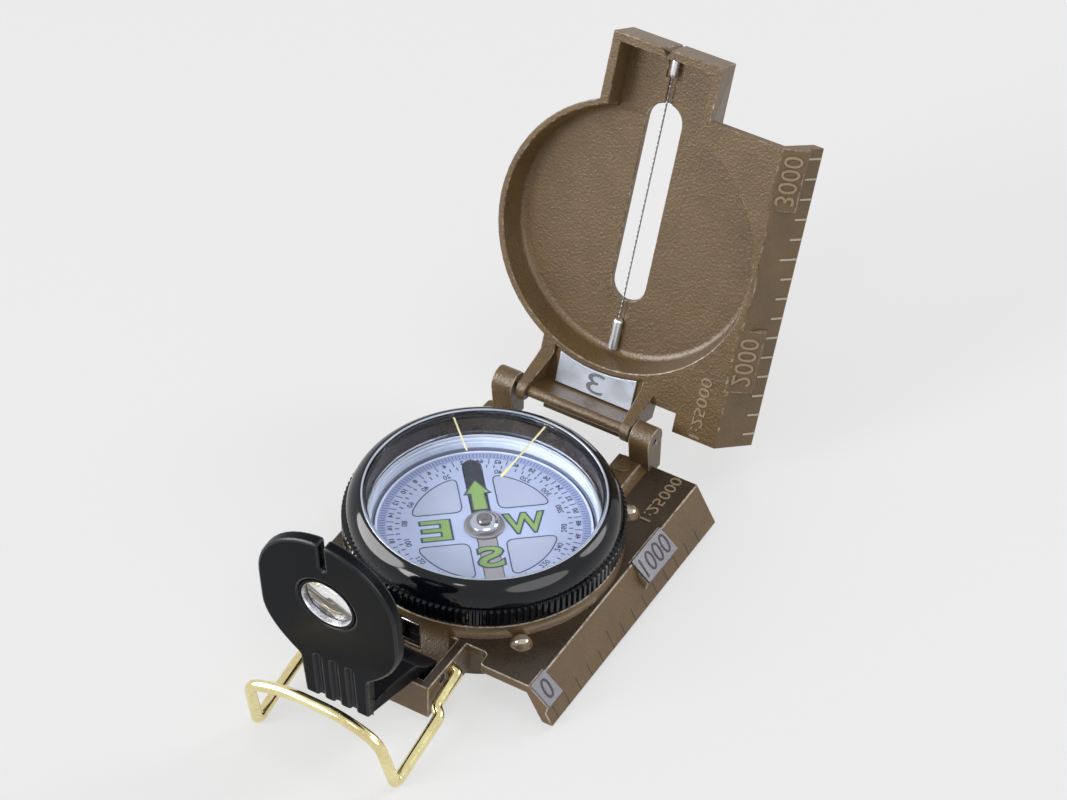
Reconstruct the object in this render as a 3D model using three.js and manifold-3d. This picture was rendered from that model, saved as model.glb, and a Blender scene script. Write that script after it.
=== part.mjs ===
// Magnetic compass with a hinged sighting lid, a folding lens bracket and a wire thumb loop.
// Millimetres, +Z up. The origin is on the dial axis at the underside of the case,
// +X points to the ruled edge and +Y to the lid hinge. The lid stands open, the bracket upright.

import * as THREE from 'three';
import { mergeVertices } from 'three/addons/utils/BufferGeometryUtils.js';
import Module from 'manifold-3d';

// Fits
const runningGap = 0.3;
const pinGap = 0.15;
const plateGap = 0.1;
const cutMargin = 1;

// Dial and the capsule round it
const dialRadius = 20;
const dialThickness = 0.6;
const dialRise = 2.4;
const dialClearance = 0.6;
const dialNorth = THREE.MathUtils.degToRad(39.6);
const magnetMargin = 2.3;
const magnetWidth = 3.4;
const magnetThickness = 0.9;
const hubHole = 1;
const capRadius = 3.1;
const capFlange = 3.7;
const capFlangeHeight = 0.4;
const capHeight = 2.4;
const capRoof = 0.5;
const jewelRadius = 1.2;
const jewelHeight = 1;
const jewelCup = 0.45;
const pivotRadius = 0.45;
const pivotBase = 2;
const pivotBaseHeight = 0.8;
const pivotPoint = 1.2;
const capsuleWall = 0.7;
const capsuleFloor = 1.2;
const capsuleRise = 5.1;
const capsuleWindow = 1;
const sealWidth = 0.5;
const sealHeight = 0.4;
const capsuleInner = dialRadius + dialClearance;
const capsuleOuter = capsuleInner + capsuleWall;

// Cup and the neck that carries the bezel
const plateTop = 9.1;
const boreRadius = capsuleOuter + runningGap;
const neckWall = 1.4;
const neckRadius = boreRadius + neckWall;
const neckRise = 9.55;
const cupTuck = 0.2;
const cupRise = 3;
const cupFloor = 4.1;

// Bezel and crystal, measured from the plate's top
const bezelBore = neckRadius + runningGap;
const bezelCeiling = neckRise + runningGap;
const bezelWall = 1.9;
const bezelShoulder = bezelBore + bezelWall;
const knurlStand = 0.8;
const knurlRadius = bezelShoulder + knurlStand;
const knurlDepth = 0.45;
const knurlTeeth = 100;
const knurlHeight = 3.6;
const crystalMargin = 0.3;
const crystalRadius = boreRadius + crystalMargin;
const crystalThickness = 0.8;
const crystalDrop = 0.2;
const crystalLedge = 0.45;
const crystalShelf = 0.45;
const crystalLow = bezelCeiling + crystalShelf + pinGap;
const crystalTop = crystalLow + crystalThickness;
const bezelTop = crystalTop + crystalDrop;
const rimWall = 0.55;
const rimRadius = crystalRadius + pinGap + rimWall;
const shoulderDrop = 1.3;
const lineThickness = 0.12;
const longLine = { inner: 5.6, width: 0.7, angle: 0 };
const shortLine = { inner: 12.2, width: 0.5, angle: THREE.MathUtils.degToRad(46.6) };
const snapRingWidth = 0.8;
const snapRingHeight = 0.6;
const snapRingDrop = 1.95;
const snapRingRise = neckRise - snapRingDrop;
const snapInner = neckRadius + (runningGap - snapRingWidth) / 2;
const skirtLow = cupRise + runningGap;

// Base plate and its ruled edge
const cupRadius = knurlRadius - cupTuck;
const plateThickness = 1.9;
const plateFrontMargin = 1.9;
const plateFront = -cupRadius - plateFrontMargin;
const plateLeft = -23.2;
const leftStepLow = 18;
const leftStepHigh = 26;
const rulerMargin = 0.7;
const rulerStart = cupRadius + rulerMargin;
const rulerRun = 4.4;
const rulerDrop = 7.6;
const rulerThickness = 1.9;
const cornerRadius = 1;
const bumpRadius = 2.1;
const bumpHeight = 1.5;
const bumpTuck = 0.4;
const bumpCircle = cupRadius + bumpRadius - bumpTuck;

// Lid hinge
const lidClearance = 0.35;
const hingeRise = (bezelTop + lidClearance) / 2;
const hingeZ = plateTop + hingeRise;
const dishTuck = 0.1;
const dishRadius = knurlRadius - dishTuck;
const hingeReach = 7.4;
const hingeY = dishRadius + hingeReach;
const hingeOverhang = 0.3;
const plateBack = hingeY - hingeOverhang;
const lidAngle = THREE.MathUtils.degToRad(70.6);
const armRadius = 2.1;
const armOuter = 12.4;
const armWidth = 2.9;
const armInner = armOuter - armWidth;
const armFoot = 6.1;
const armTaperInner = 1.1;
const armTaperOuter = 0.4;
const lugRadius = 2.75;
const lugWidth = 4.4;
const lugFoot = 1.7;
const lugInner = armOuter + runningGap;
const lugOuter = lugInner + lugWidth;
const hingePinRadius = 0.5;
const hingePinRecess = 0.4;
const barrelRadius = 1.15;
const earInset = 2.1;
const earInner = armOuter - earInset;
const earMargin = 1.7;
const earLeft = lugOuter + earMargin;
const platformRise = 0.9;
const platformWidth = 4.9;
const platformSlope = 1.6;
const platformLength = 12;
const platformEnd = plateBack - cornerRadius;

// Number plates and the wedges under them
const wedgeInset = 0.6;
const wedgeReach = 3.4;
const wedgeDrop = 3.3;
const wedgeStep = 2.5;
const plateSheet = 0.5;
const scaleSpan = 36;
const scaleZero = { from: plateFront, length: 4.6 };
const scaleThousand = { from: plateFront + scaleSpan, length: 10.6 };

// Lid, measured from its hinge axis
const lidPlateThickness = 1.9;
const lidPlateStart = 0.3;
const lidPlateEnd = hingeY - plateFront;
const lidScaleLow = { from: 12.2, length: 12.5 };
const lidScaleHigh = { from: 48.9, length: 12.1 };
const dishWall = 1.15;
const dishDepth = 5.8;
const dishFloor = 1.5;
const dishDraft = 0.9;
const dishFillet = 1.4;
const tabHalf = 11.2;
const tabWall = 1.8;
const tabEndDraft = 0.8;
const tabSideDraft = 0.45;
const tabReach = 12.2;
const tabEnd = hingeY + dishRadius + tabReach;
const lugCutEnd = 4.1;
const notchWidth = 1.8;
const notchDepth = 1.3;
const webSheet = 1.6;
const webLap = 0.3;
const webDrop = 0.9;
const webFoot = -5.5;
const webEnd = hingeReach + dishWall * 4;
const shelfTop = 0.6;
const numberPlateLow = shelfTop + runningGap;
const numberPlateMargin = 1.3;
const numberPlateHalf = armInner - numberPlateMargin;

// Sighting wire and slot
const wireRadius = 0.22;
const wireHeight = 0.75;
const wireChannel = 1.4;
const wireChannelDepth = 0.5;
const topAnchorMargin = 1.3;
const topAnchorLength = 3.7;
const topAnchorRadius = 0.8;
const topAnchorHigh = tabEnd - tabWall - topAnchorMargin;
const topAnchorLow = topAnchorHigh - topAnchorLength;
const lowAnchorMargin = 2;
const lowAnchorLength = 6.2;
const lowAnchorRadius = 0.95;
const lowAnchorLow = hingeReach + lowAnchorMargin;
const lowAnchorHigh = lowAnchorLow + lowAnchorLength;
const slotHalf = 3.6;
const slotMarginLow = 3.7;
const slotMarginHigh = 5.3;
const slotLow = lowAnchorHigh + slotMarginLow;
const slotHigh = topAnchorLow - slotMarginHigh;

// Front tray that holds the lens bracket and the thumb loop
const bracketOffset = 6.7;
const bracketY = -knurlRadius - bracketOffset;
const bracketDrop = 1.7;
const bracketZ = plateTop - bracketDrop;
const trayHalf = 11.3;
const trayWall = 1.9;
const trayInner = trayHalf - trayWall;
const trayNose = 3.3;
const trayFrontWall = 1.5;
const trayFront = bracketY - trayNose - trayFrontWall;
const trayBottom = 1.7;
const trayFloor = 1.5;
const notchWide = 4.4;
const notchHalf = trayHalf + notchWide;
const notchTuck = 1.2;
const notchBack = notchTuck - cupRadius;
const windowHalf = 2.1;
const windowDepth = 2.6;
const windowSlot = 1.8;
const windowDrop = 5;
const windowRise = 1.2;
const windowLow = plateTop - windowDrop;
const windowHigh = plateTop + windowRise;
const springLeaf = 0.4;

// Lens bracket, measured from its hinge axis
const foldGap = 0.65;
const bracketLean = THREE.MathUtils.degToRad(5.7);
const bracketSheet = 2.4;
const bracketReach = bezelTop + bracketDrop + foldGap + bracketSheet;
const bracketHalf = 13.7;
const bracketCrown = 30.1;
const bracketShoulder = 23.5;
const neckTop = 12;
const neckHalfTop = 6.9;
const neckHalf = 6.5;
const footRest = 0.35;
const footLow = bracketDrop + footRest;
const footSheet = 3.1;
const footGap = 0.5;
const footHalf = trayInner - footGap;
const footStart = 1.9;
const footNarrow = 2;
const footSlope = 3.5;
const knuckleRadius = 2.05;
const bracketPinRadius = 0.8;
const sightWidth = 1;
const sightDepth = 6;
const grooveWidth = 1.1;
const grooveDepth = 0.8;
const groovePitch = 3.25;
const lensCentre = 29;
const lensRadius = 5.4;
const lensEdge = 0.5;
const lensBulge = 0.5;
const lensInset = 1.45;
const lensLedge = 0.3;
const lensRingWidth = 0.7;
const lensRingSheet = 1.2;

// Thumb loop
const loopWire = 1.05;
const loopSpacing = 3.1;
const loopY = bracketY + loopSpacing;
const loopDrop = 2;
const loopZ = plateTop - loopDrop;
const loopSideGap = 0.35;
const loopLegX = trayHalf + loopWire + loopSideGap;
const loopKinkInset = 0.3;
const loopKinkY = trayFront + loopKinkInset;
const loopKinkLength = 1.2;
const loopKinkStep = 1.6;
const loopWide = loopLegX + loopKinkStep;
const loopLength = 15.6;
const loopBendY = trayFront - loopLength;
const loopFloorGap = 0.05;
const loopLean = 3.5;
const loopCrossY = loopBendY - loopLean;
const loopCrossInset = 1.1;
const loopCrossHalf = loopWide - loopCrossInset;
const loopCrossRise = 5.1;
const loopBowHalf = 5.5;
const loopBow = 2.5;

// Materials
const brownPaint = { color: 0x5d4a3a, roughness: 0.5, metalness: 0.2 };
const silverPlate = { color: 0xa5a6ad, roughness: 0.3, metalness: 0.8 };
const blackPlastic = { color: 0x17181b, roughness: 0.35, metalness: 0 };
const satinBlack = { color: 0x28292d, roughness: 0.5, metalness: 0 };
const steel = { color: 0xb9bcc2, roughness: 0.25, metalness: 1 };
const darkSteel = { color: 0x3a3a3c, roughness: 0.4, metalness: 1 };
const brass = { color: 0xd8c27a, roughness: 0.25, metalness: 1 };
const clear = { color: 0xeef3f6, roughness: 0.05, metalness: 0, transparent: true, opacity: 0.25 };
const whitePlastic = { color: 0xdfe3ee, roughness: 0.4, metalness: 0 };
const dialPrint = { color: 0xbcc1da, roughness: 0.5, metalness: 0 };
const luminous = { color: 0xe6e2a8, roughness: 0.6, metalness: 0 };
const magnetGrey = { color: 0x55575c, roughness: 0.5, metalness: 0.6 };
const ruby = { color: 0x8f2036, roughness: 0.15, metalness: 0 };
const rubber = { color: 0xc4c8d0, roughness: 0.6, metalness: 0 };

const wasm = await Module();
wasm.setup();

// A closed geometry as a solid with its faces pointing out.
function toSolid(geometry) {
  const bare = geometry.clone();
  bare.deleteAttribute('normal');
  bare.deleteAttribute('uv');
  const merged = mergeVertices(bare, 1e-4);
  const position = merged.attributes.position;
  const corners = [new THREE.Vector3(), new THREE.Vector3(), new THREE.Vector3()];
  const triangles = [];
  let volume = 0;
  for (let i = 0; i < merged.index.count; i += 3) {
    const ids = [0, 1, 2].map((k) => merged.index.getX(i + k));
    if (new Set(ids).size === 3) {
      ids.forEach((id, k) => corners[k].fromBufferAttribute(position, id));
      volume += corners[0].dot(corners[1].clone().cross(corners[2]));
      triangles.push(ids);
    }
  }
  const faces = volume < 0 ? triangles.map(([a, b, c]) => [a, c, b]) : triangles;
  return new wasm.Manifold(new wasm.Mesh({
    numProp: 3,
    vertProperties: new Float32Array(position.array),
    triVerts: new Uint32Array(faces.flat()),
  }));
}

function toGeometry(solid) {
  const mesh = solid.getMesh();
  const geometry = new THREE.BufferGeometry();
  geometry.setAttribute('position', new THREE.BufferAttribute(new Float32Array(mesh.vertProperties), 3));
  geometry.setIndex(new THREE.BufferAttribute(new Uint32Array(mesh.triVerts), 1));
  geometry.computeVertexNormals();
  return geometry;
}

function join(solids) {
  return solids.reduce((whole, solid) => whole.add(solid));
}

function cut(solid, tools) {
  return tools.reduce((rest, tool) => rest.subtract(tool), solid);
}

// An outline of corner points, extruded along an axis: x takes (y, z), y takes (x, z), z takes (x, y).
function prism(axis, outline, from, to) {
  const shape = new THREE.Shape(outline.map(([a, b]) => new THREE.Vector2(a, b)));
  const geometry = new THREE.ExtrudeGeometry(shape, { depth: to - from, steps: 1, bevelEnabled: false });
  geometry.translate(0, 0, from);
  const turn = {
    x: new THREE.Matrix4().set(0, 0, 1, 0, 1, 0, 0, 0, 0, 1, 0, 0, 0, 0, 0, 1),
    y: new THREE.Matrix4().set(1, 0, 0, 0, 0, 0, 1, 0, 0, 1, 0, 0, 0, 0, 0, 1),
    z: new THREE.Matrix4(),
  };
  return toSolid(geometry.applyMatrix4(turn[axis]));
}

function box(x0, x1, y0, y1, z0, z1) {
  return prism('z', [[x0, y0], [x1, y0], [x1, y1], [x0, y1]], z0, z1);
}

// Points of an arc from one angle to another.
function arc(a, b, radius, start, end, steps) {
  return Array.from({ length: steps + 1 }, (_, i) => {
    const angle = start + (end - start) * i / steps;
    return [a + radius * Math.cos(angle), b + radius * Math.sin(angle)];
  });
}

function circle(a, b, radius, sides) {
  return arc(a, b, radius, 0, 2 * Math.PI, sides).slice(0, sides);
}

// A straight rod of round section, along an axis.
function rod(axis, a, b, radius, from, to, sides = 24) {
  return prism(axis, circle(a, b, radius, sides), from, to);
}

// Corners of an outline rounded to one radius.
function rounded(corners, radius, steps = 4) {
  return corners.flatMap(([x, y], i) => {
    const here = new THREE.Vector2(x, y);
    const before = new THREE.Vector2(...corners.at(i - 1)).sub(here);
    const after = new THREE.Vector2(...corners[(i + 1) % corners.length]).sub(here);
    const half = Math.abs(Math.atan2(before.cross(after), before.dot(after))) / 2;
    const room = Math.min(before.length(), after.length()) * 0.45;
    const reach = Math.min(radius / Math.tan(half), room);
    const start = before.setLength(reach).add(here);
    const end = after.setLength(reach).add(here);
    const bend = new THREE.QuadraticBezierCurve(start, here, end);
    return bend.getPoints(steps).map((point) => [point.x, point.y]);
  });
}

// A profile of (radius, height) points turned about Z.
function turned(profile, segments = 64) {
  const geometry = new THREE.LatheGeometry(profile.map(([r, z]) => new THREE.Vector2(r, z)), segments);
  return toSolid(geometry.rotateX(Math.PI / 2));
}

// A ring of rectangular section about Z.
function ring(inner, outer, low, high, segments = 64) {
  return turned([[inner, low], [outer, low], [outer, high], [inner, high], [inner, low]], segments);
}

// A turned disc about Z.
function disc(radius, low, high, segments = 64) {
  return turned([[0, low], [radius, low], [radius, high], [0, high]], segments);
}

function piece(name, solid, look) {
  const mesh = new THREE.Mesh(toGeometry(solid), new THREE.MeshStandardMaterial(look));
  mesh.name = name;
  return mesh;
}

// A plate's sloped ruled edge: a wall that runs down and outward, cut level at its foot.
function ruledEdge(top, thickness, from, to) {
  const length = Math.hypot(rulerRun, rulerDrop);
  const across = rulerThickness * length / rulerDrop;
  const under = thickness * rulerRun / rulerDrop;
  const root = rulerStart - across + under;
  const outline = [
    [root - cutMargin, top],
    [rulerStart, top],
    [rulerStart + rulerRun, top - rulerDrop],
    [rulerStart + rulerRun - across, top - rulerDrop],
    [root, top - thickness],
    [root - cutMargin, top - thickness],
  ];
  return prism('y', outline, from, to);
}

// The wedge on the ruled edge that carries a number.
function numberWedge(top, { from, length }) {
  const end = rulerStart + wedgeReach;
  const outline = [
    [rulerStart - wedgeInset, top - wedgeInset],
    [rulerStart - wedgeInset, top],
    [end, top - wedgeDrop],
    [end - wedgeInset, top - wedgeDrop - wedgeStep],
  ];
  return prism('y', outline, from, from + length);
}

// A flat slab over a number wedge's face, between two heights above it.
function wedgeSlab(top, { from, length }, low, high) {
  const run = wedgeReach + wedgeInset;
  const size = Math.hypot(run, wedgeDrop);
  const point = (rise, along) => [
    rulerStart - wedgeInset + run * along + rise * wedgeDrop / size,
    top - wedgeDrop * along + rise * run / size,
  ];
  return prism('y', [point(low, 0), point(low, 1), point(high, 1), point(high, 0)], from, from + length);
}

function scalePlate(place) {
  return wedgeSlab(plateTop, place, plateGap, plateGap + plateSheet);
}

// Base casting
function basePlate() {
  const outline = [
    [notchHalf, plateFront],
    [rulerStart, plateFront],
    [rulerStart, plateBack],
    [earInner, plateBack],
    [earInner, 0],
    [-earInner, 0],
    [-earInner, plateBack],
    [-earLeft, plateBack],
    [-earLeft, leftStepHigh],
    [plateLeft, leftStepLow],
    [plateLeft, plateFront],
    [-notchHalf, plateFront],
    [-notchHalf, notchBack],
    [notchHalf, notchBack],
  ];
  return prism('z', rounded(outline, cornerRadius), plateTop - plateThickness, plateTop);
}

function hingeLug(side) {
  const tangent = 0.94 * lugRadius;
  const low = hingeZ - Math.sqrt(lugRadius ** 2 - tangent ** 2);
  const pedestal = [
    [hingeY - lugFoot, plateTop - plateThickness],
    [hingeY + tangent, plateTop - plateThickness],
    [hingeY + tangent, low],
    [hingeY - tangent, low],
  ];
  const [from, to] = side > 0 ? [lugInner, lugOuter] : [-lugOuter, -lugInner];
  return prism('x', pedestal, from, to).add(rod('x', hingeY, hingeZ, lugRadius, from, to, 32));
}

function rearPlatform(side) {
  const outline = [
    [side * earInner, plateTop - platformRise],
    [side * (earInner + platformWidth + platformSlope), plateTop - platformRise],
    [side * (earInner + platformWidth + platformSlope), plateTop],
    [side * (earInner + platformWidth), plateTop + platformRise],
    [side * earInner, plateTop + platformRise],
  ];
  return prism('y', outline, platformEnd - platformLength, platformEnd);
}

function bump(angle) {
  const curve = (bumpRadius ** 2 + bumpHeight ** 2) / (2 * bumpHeight);
  const edge = Math.asin(bumpRadius / curve);
  const cap = arc(0, bumpHeight - curve, curve, Math.PI / 2 - edge, Math.PI / 2, 6);
  const root = -plateThickness / 2;
  const dome = turned([[0, root], [bumpRadius, root], ...cap.slice(0, -1), [0, bumpHeight]], 20);
  return dome.translate([bumpCircle * Math.cos(angle), bumpCircle * Math.sin(angle), plateTop]);
}

function frontTray() {
  const shell = box(-trayHalf, trayHalf, trayFront, 0, trayBottom, plateTop);
  const floor = trayBottom + trayFloor;
  const hollow = box(-trayInner, trayInner, trayFront + trayFrontWall, 0, floor, plateTop + cutMargin);
  return shell.subtract(hollow);
}

function baseCasting() {
  const cup = disc(cupRadius, 0, plateTop + cupRise);
  const neck = disc(neckRadius, cupFloor, plateTop + neckRise);
  const bumps = [1, 3, 5, 7].map((eighth) => bump(eighth * Math.PI / 4));
  const places = [scaleZero, scaleThousand];
  const wedges = places.map((place) => numberWedge(plateTop, place));
  const reliefs = places.map((place) => wedgeSlab(plateTop, place, 0, cutMargin));
  const body = join([
    cup,
    neck,
    basePlate(),
    ruledEdge(plateTop, plateThickness, plateFront, plateBack),
    frontTray(),
    hingeLug(1),
    hingeLug(-1),
    rearPlatform(1),
    rearPlatform(-1),
    ...bumps,
    ...wedges,
  ]);
  const windowFront = -cupRadius - cutMargin;
  const windowBack = -cupRadius + windowDepth;
  const cupTop = plateTop + cupRise;
  const groove = ring(
    snapInner - runningGap, neckRadius + runningGap / 2,
    plateTop + snapRingRise - runningGap, plateTop + snapRingRise + snapRingHeight + runningGap,
  );
  return cut(body, [
    ...reliefs,
    disc(boreRadius, cupFloor, plateTop + neckRise + cutMargin),
    groove,
    box(-windowHalf, windowHalf, windowFront, windowBack, windowLow, windowHigh),
    box(-windowHalf, windowHalf, windowBack - windowSlot, windowBack, windowLow, cupTop + cutMargin),
    rod('x', hingeY, hingeZ, hingePinRadius + pinGap, -lugOuter - cutMargin, lugOuter + cutMargin),
    rod('x', bracketY, bracketZ, bracketPinRadius + pinGap, -trayHalf - cutMargin, trayHalf + cutMargin),
    rod('x', loopY, loopZ, loopWire + pinGap, -trayHalf - cutMargin, trayHalf + cutMargin),
  ]);
}

// Lid, in its own frame: hinge axis at the origin, Y along the lid, Z out of its inner face.
const lidFace = -hingeRise;
const lidBack = lidFace - dishDepth - dishFloor;

function dishInside() {
  const low = lidFace - dishDepth;
  const foot = dishRadius - dishDraft;
  const fillet = arc(foot - dishFillet, low + dishFillet, dishFillet, 0, -Math.PI / 2, 6);
  const high = lidFace + cutMargin;
  return turned([[0, high], [dishRadius, high], [dishRadius, lidFace], ...fillet, [0, low]])
    .translate([0, hingeY, 0]);
}

function dishOutside() {
  const edge = dishRadius + dishWall;
  const foot = edge - dishDraft;
  const fillet = arc(foot - dishFillet, lidBack + dishFillet, dishFillet, 0, -Math.PI / 2, 6);
  return turned([[0, lidFace], [edge, lidFace], ...fillet, [0, lidBack]]).translate([0, hingeY, 0]);
}

// The sight tab's walls lean in a little toward its back.
function sightTab() {
  const back = tabHalf - tabSideDraft;
  const side = [[hingeY, lidBack], [tabEnd - tabEndDraft, lidBack], [tabEnd, lidFace], [hingeY, lidFace]];
  const end = [[-back, lidBack], [back, lidBack], [tabHalf, lidFace], [-tabHalf, lidFace]];
  return prism('x', side, -tabHalf, tabHalf).intersect(prism('y', end, hingeY, tabEnd));
}

function tabInside() {
  const inner = tabHalf - tabWall;
  return box(-inner, inner, hingeY, tabEnd - tabWall, lidFace - dishDepth, lidFace + cutMargin);
}

function lidPlate() {
  const lugCut = lugOuter + runningGap;
  const outline = [
    [armInner, lugCutEnd],
    [lugCut, lugCutEnd],
    [lugCut, lidPlateStart],
    [rulerStart, lidPlateStart],
    [rulerStart, lidPlateEnd],
    [armInner, lidPlateEnd],
  ];
  return prism('z', outline, lidFace - lidPlateThickness, lidFace);
}

// The sheet between the arms, and the shelf and barrel that stand out from it round the hinge pin.
function hingeWeb() {
  const top = lidFace - webDrop;
  const sheetHalf = armInner + webLap;
  const shelfHalf = armInner + armTaperInner;
  return join([
    box(-sheetHalf, sheetHalf, webFoot, webLap, top - webSheet, top),
    box(-shelfHalf, shelfHalf, 0, webEnd, top - webSheet, top),
    box(-shelfHalf, shelfHalf, 0, shelfTop, top - webLap, 0),
    rod('x', 0, 0, barrelRadius, -shelfHalf, shelfHalf, 32),
  ]);
}

function hingeArm(side) {
  const reach = Math.hypot(armFoot, lidFace);
  const touch = Math.atan2(lidFace, armFoot) + Math.acos(armRadius / reach);
  const outline = [
    [0, 0],
    [lidPlateStart, lidFace - webDrop - webSheet],
    [webEnd, lidFace - webDrop - webSheet],
    [webEnd, lidFace],
    [armFoot, lidFace],
    [armRadius * Math.cos(touch), armRadius * Math.sin(touch)],
  ];
  const [from, to] = side > 0 ? [armInner, armOuter] : [-armOuter, -armInner];
  const plan = [
    [side * armInner, webEnd + cutMargin],
    [side * armInner, armFoot],
    [side * (armInner + armTaperInner), -armRadius - cutMargin],
    [side * (armOuter - armTaperOuter), -armRadius - cutMargin],
    [side * armOuter, armFoot],
    [side * armOuter, webEnd + cutMargin],
  ];
  const tapered = prism('z', plan, lidBack, armRadius + cutMargin);
  return prism('x', outline, from, to).add(rod('x', 0, 0, armRadius, from, to, 32)).intersect(tapered);
}

function sightSlot() {
  const radius = slotHalf;
  const outline = [
    ...arc(0, slotHigh - radius, radius, 0, Math.PI, 10),
    ...arc(0, slotLow + radius, radius, Math.PI, 2 * Math.PI, 10),
  ];
  return prism('z', outline, lidBack - cutMargin, lidFace + cutMargin);
}

const wireZ = lidFace - dishDepth + wireHeight;

function lidCasting() {
  const places = [lidScaleLow, lidScaleHigh];
  const wedges = places.map((place) => numberWedge(lidFace, place));
  const reliefs = places.map((place) => wedgeSlab(lidFace, place, 0, cutMargin));
  const outer = join([
    dishOutside(),
    sightTab(),
    lidPlate(),
    ruledEdge(lidFace, lidPlateThickness, lidPlateStart, lidPlateEnd),
    hingeWeb(),
    hingeArm(1),
    hingeArm(-1),
    ...wedges,
  ]);
  const half = notchWidth / 2;
  const past = tabEnd + cutMargin;
  const sight = [[-half, past], [-half, tabEnd], [0, tabEnd - notchDepth], [half, tabEnd], [half, past]];
  const topSeat = box(
    -topAnchorRadius * 2, topAnchorRadius * 2,
    topAnchorLow - runningGap, tabEnd - tabWall,
    wireZ - topAnchorRadius - runningGap, lidFace,
  );
  const channel = box(
    -wireChannel / 2, wireChannel / 2,
    slotHigh - slotHalf, topAnchorLow,
    lidFace - dishDepth - wireChannelDepth, lidFace,
  );
  return cut(outer, [
    ...reliefs,
    dishInside(),
    tabInside(),
    sightSlot(),
    topSeat,
    channel,
    prism('z', sight, lidBack - cutMargin, lidFace + cutMargin),
    rod('x', 0, 0, hingePinRadius + pinGap, -armOuter - cutMargin, armOuter + cutMargin),
    rod('y', 0, wireZ, lowAnchorRadius + pinGap, lowAnchorLow - runningGap, slotLow + slotHalf),
  ]);
}

function numberPlate() {
  const low = lidFace - webDrop + plateGap;
  const dish = disc(dishRadius + dishWall + runningGap, low - cutMargin, low + cutMargin);
  return box(-numberPlateHalf, numberPlateHalf, numberPlateLow, hingeReach, low, low + plateSheet)
    .subtract(dish.translate([0, hingeY, 0]));
}

function sightWire() {
  return rod('y', 0, wireZ, wireRadius, lowAnchorHigh + pinGap, topAnchorLow - pinGap, 10);
}

function anchor(radius, from, to, pointed) {
  const point = pointed ? radius : 0;
  const profile = [[0, 0], [radius - point * 0.6, 0], [radius, point], [radius, to - from], [0, to - from]];
  return turned(profile, 20).rotate([-90, 0, 0]).translate([0, from, wireZ]);
}

function buildLid() {
  const lid = new THREE.Group();
  lid.position.set(0, hingeY, hingeZ);
  lid.rotation.x = lidAngle;
  lid.add(piece('lid_casting', lidCasting(), brownPaint));
  lid.add(piece('number_plate', numberPlate(), silverPlate));
  lid.add(piece('sight_wire', sightWire(), steel));
  lid.add(piece('wire_anchor_top', anchor(topAnchorRadius, topAnchorLow, topAnchorHigh, true), steel));
  lid.add(piece('wire_anchor_bottom', anchor(lowAnchorRadius, lowAnchorLow, lowAnchorHigh, false), steel));
  return lid;
}

// Bezel, in a group at the plate's top
function bezelRing() {
  const knurlHigh = skirtLow + knurlHeight;
  const seat = crystalRadius + pinGap;
  const opening = crystalRadius - crystalLedge;
  const snapLow = snapRingRise - runningGap;
  const snapHigh = snapRingRise + snapRingHeight + runningGap;
  const snapDeep = snapInner + snapRingWidth + runningGap;
  const shoulder = new THREE.QuadraticBezierCurve(
    new THREE.Vector2(bezelShoulder, knurlHigh),
    new THREE.Vector2(bezelShoulder, bezelTop - shoulderDrop),
    new THREE.Vector2(rimRadius, bezelTop),
  );
  const body = turned([
    [bezelBore, skirtLow],
    [bezelShoulder, skirtLow],
    ...shoulder.getPoints(5).map((point) => [point.x, point.y]),
    [seat, bezelTop],
    [seat, crystalLow - pinGap],
    [opening, crystalLow - pinGap],
    [opening, bezelCeiling],
    [bezelBore, bezelCeiling],
    [bezelBore, snapHigh],
    [snapDeep, snapHigh],
    [snapDeep, snapLow],
    [bezelBore, snapLow],
    [bezelBore, skirtLow],
  ]);
  const pitch = 2 * Math.PI / knurlTeeth;
  const teeth = Array.from({ length: knurlTeeth }, (_, i) => [
    [knurlRadius - knurlDepth, i * pitch],
    [knurlRadius, (i + 0.3) * pitch],
    [knurlRadius, (i + 0.7) * pitch],
  ]).flat().map(([r, a]) => [r * Math.cos(a), r * Math.sin(a)]);
  const inside = disc((bezelBore + bezelShoulder) / 2, skirtLow - cutMargin, knurlHigh + cutMargin);
  return body.add(prism('z', teeth, skirtLow, knurlHigh).subtract(inside));
}

function crystalLine({ inner, width, angle }) {
  const top = crystalLow - plateGap;
  const outer = crystalRadius - crystalLedge - runningGap;
  return box(-width / 2, width / 2, inner, outer, top - lineThickness, top)
    .rotate([0, 0, THREE.MathUtils.radToDeg(angle)]);
}

function buildBezel() {
  const bezel = new THREE.Group();
  bezel.position.z = plateTop;
  const snapRing = ring(snapInner, snapInner + snapRingWidth, snapRingRise, snapRingRise + snapRingHeight);
  bezel.add(piece('bezel_ring', bezelRing(), blackPlastic));
  bezel.add(piece('crystal', disc(crystalRadius, crystalLow, crystalTop), clear));
  bezel.add(piece('long_line', crystalLine(longLine), luminous));
  bezel.add(piece('short_line', crystalLine(shortLine), luminous));
  bezel.add(piece('bezel_snap_ring', snapRing, steel));
  return bezel;
}

// Capsule, fixed in the case
const capsuleLow = cupFloor + runningGap;
const capsuleTop = plateTop + capsuleRise;
const capsuleBed = capsuleLow + capsuleFloor;
const dialTop = plateTop + dialRise;
const jewelTop = dialTop + capHeight - capRoof;
const jewelLow = jewelTop - jewelHeight;

function capsuleCup() {
  return turned([
    [0, capsuleLow],
    [capsuleOuter, capsuleLow],
    [capsuleOuter, capsuleTop],
    [capsuleInner, capsuleTop],
    [capsuleInner, capsuleBed],
    [0, capsuleBed],
  ]);
}

function pivotPin() {
  const base = capsuleBed + plateGap;
  const tip = jewelLow + jewelCup - pinGap;
  return turned([
    [0, base],
    [pivotBase, base],
    [pivotBase, base + pivotBaseHeight],
    [pivotRadius, base + pivotBaseHeight],
    [pivotRadius, tip - pivotPoint],
    [0, tip],
  ], 24);
}

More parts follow.
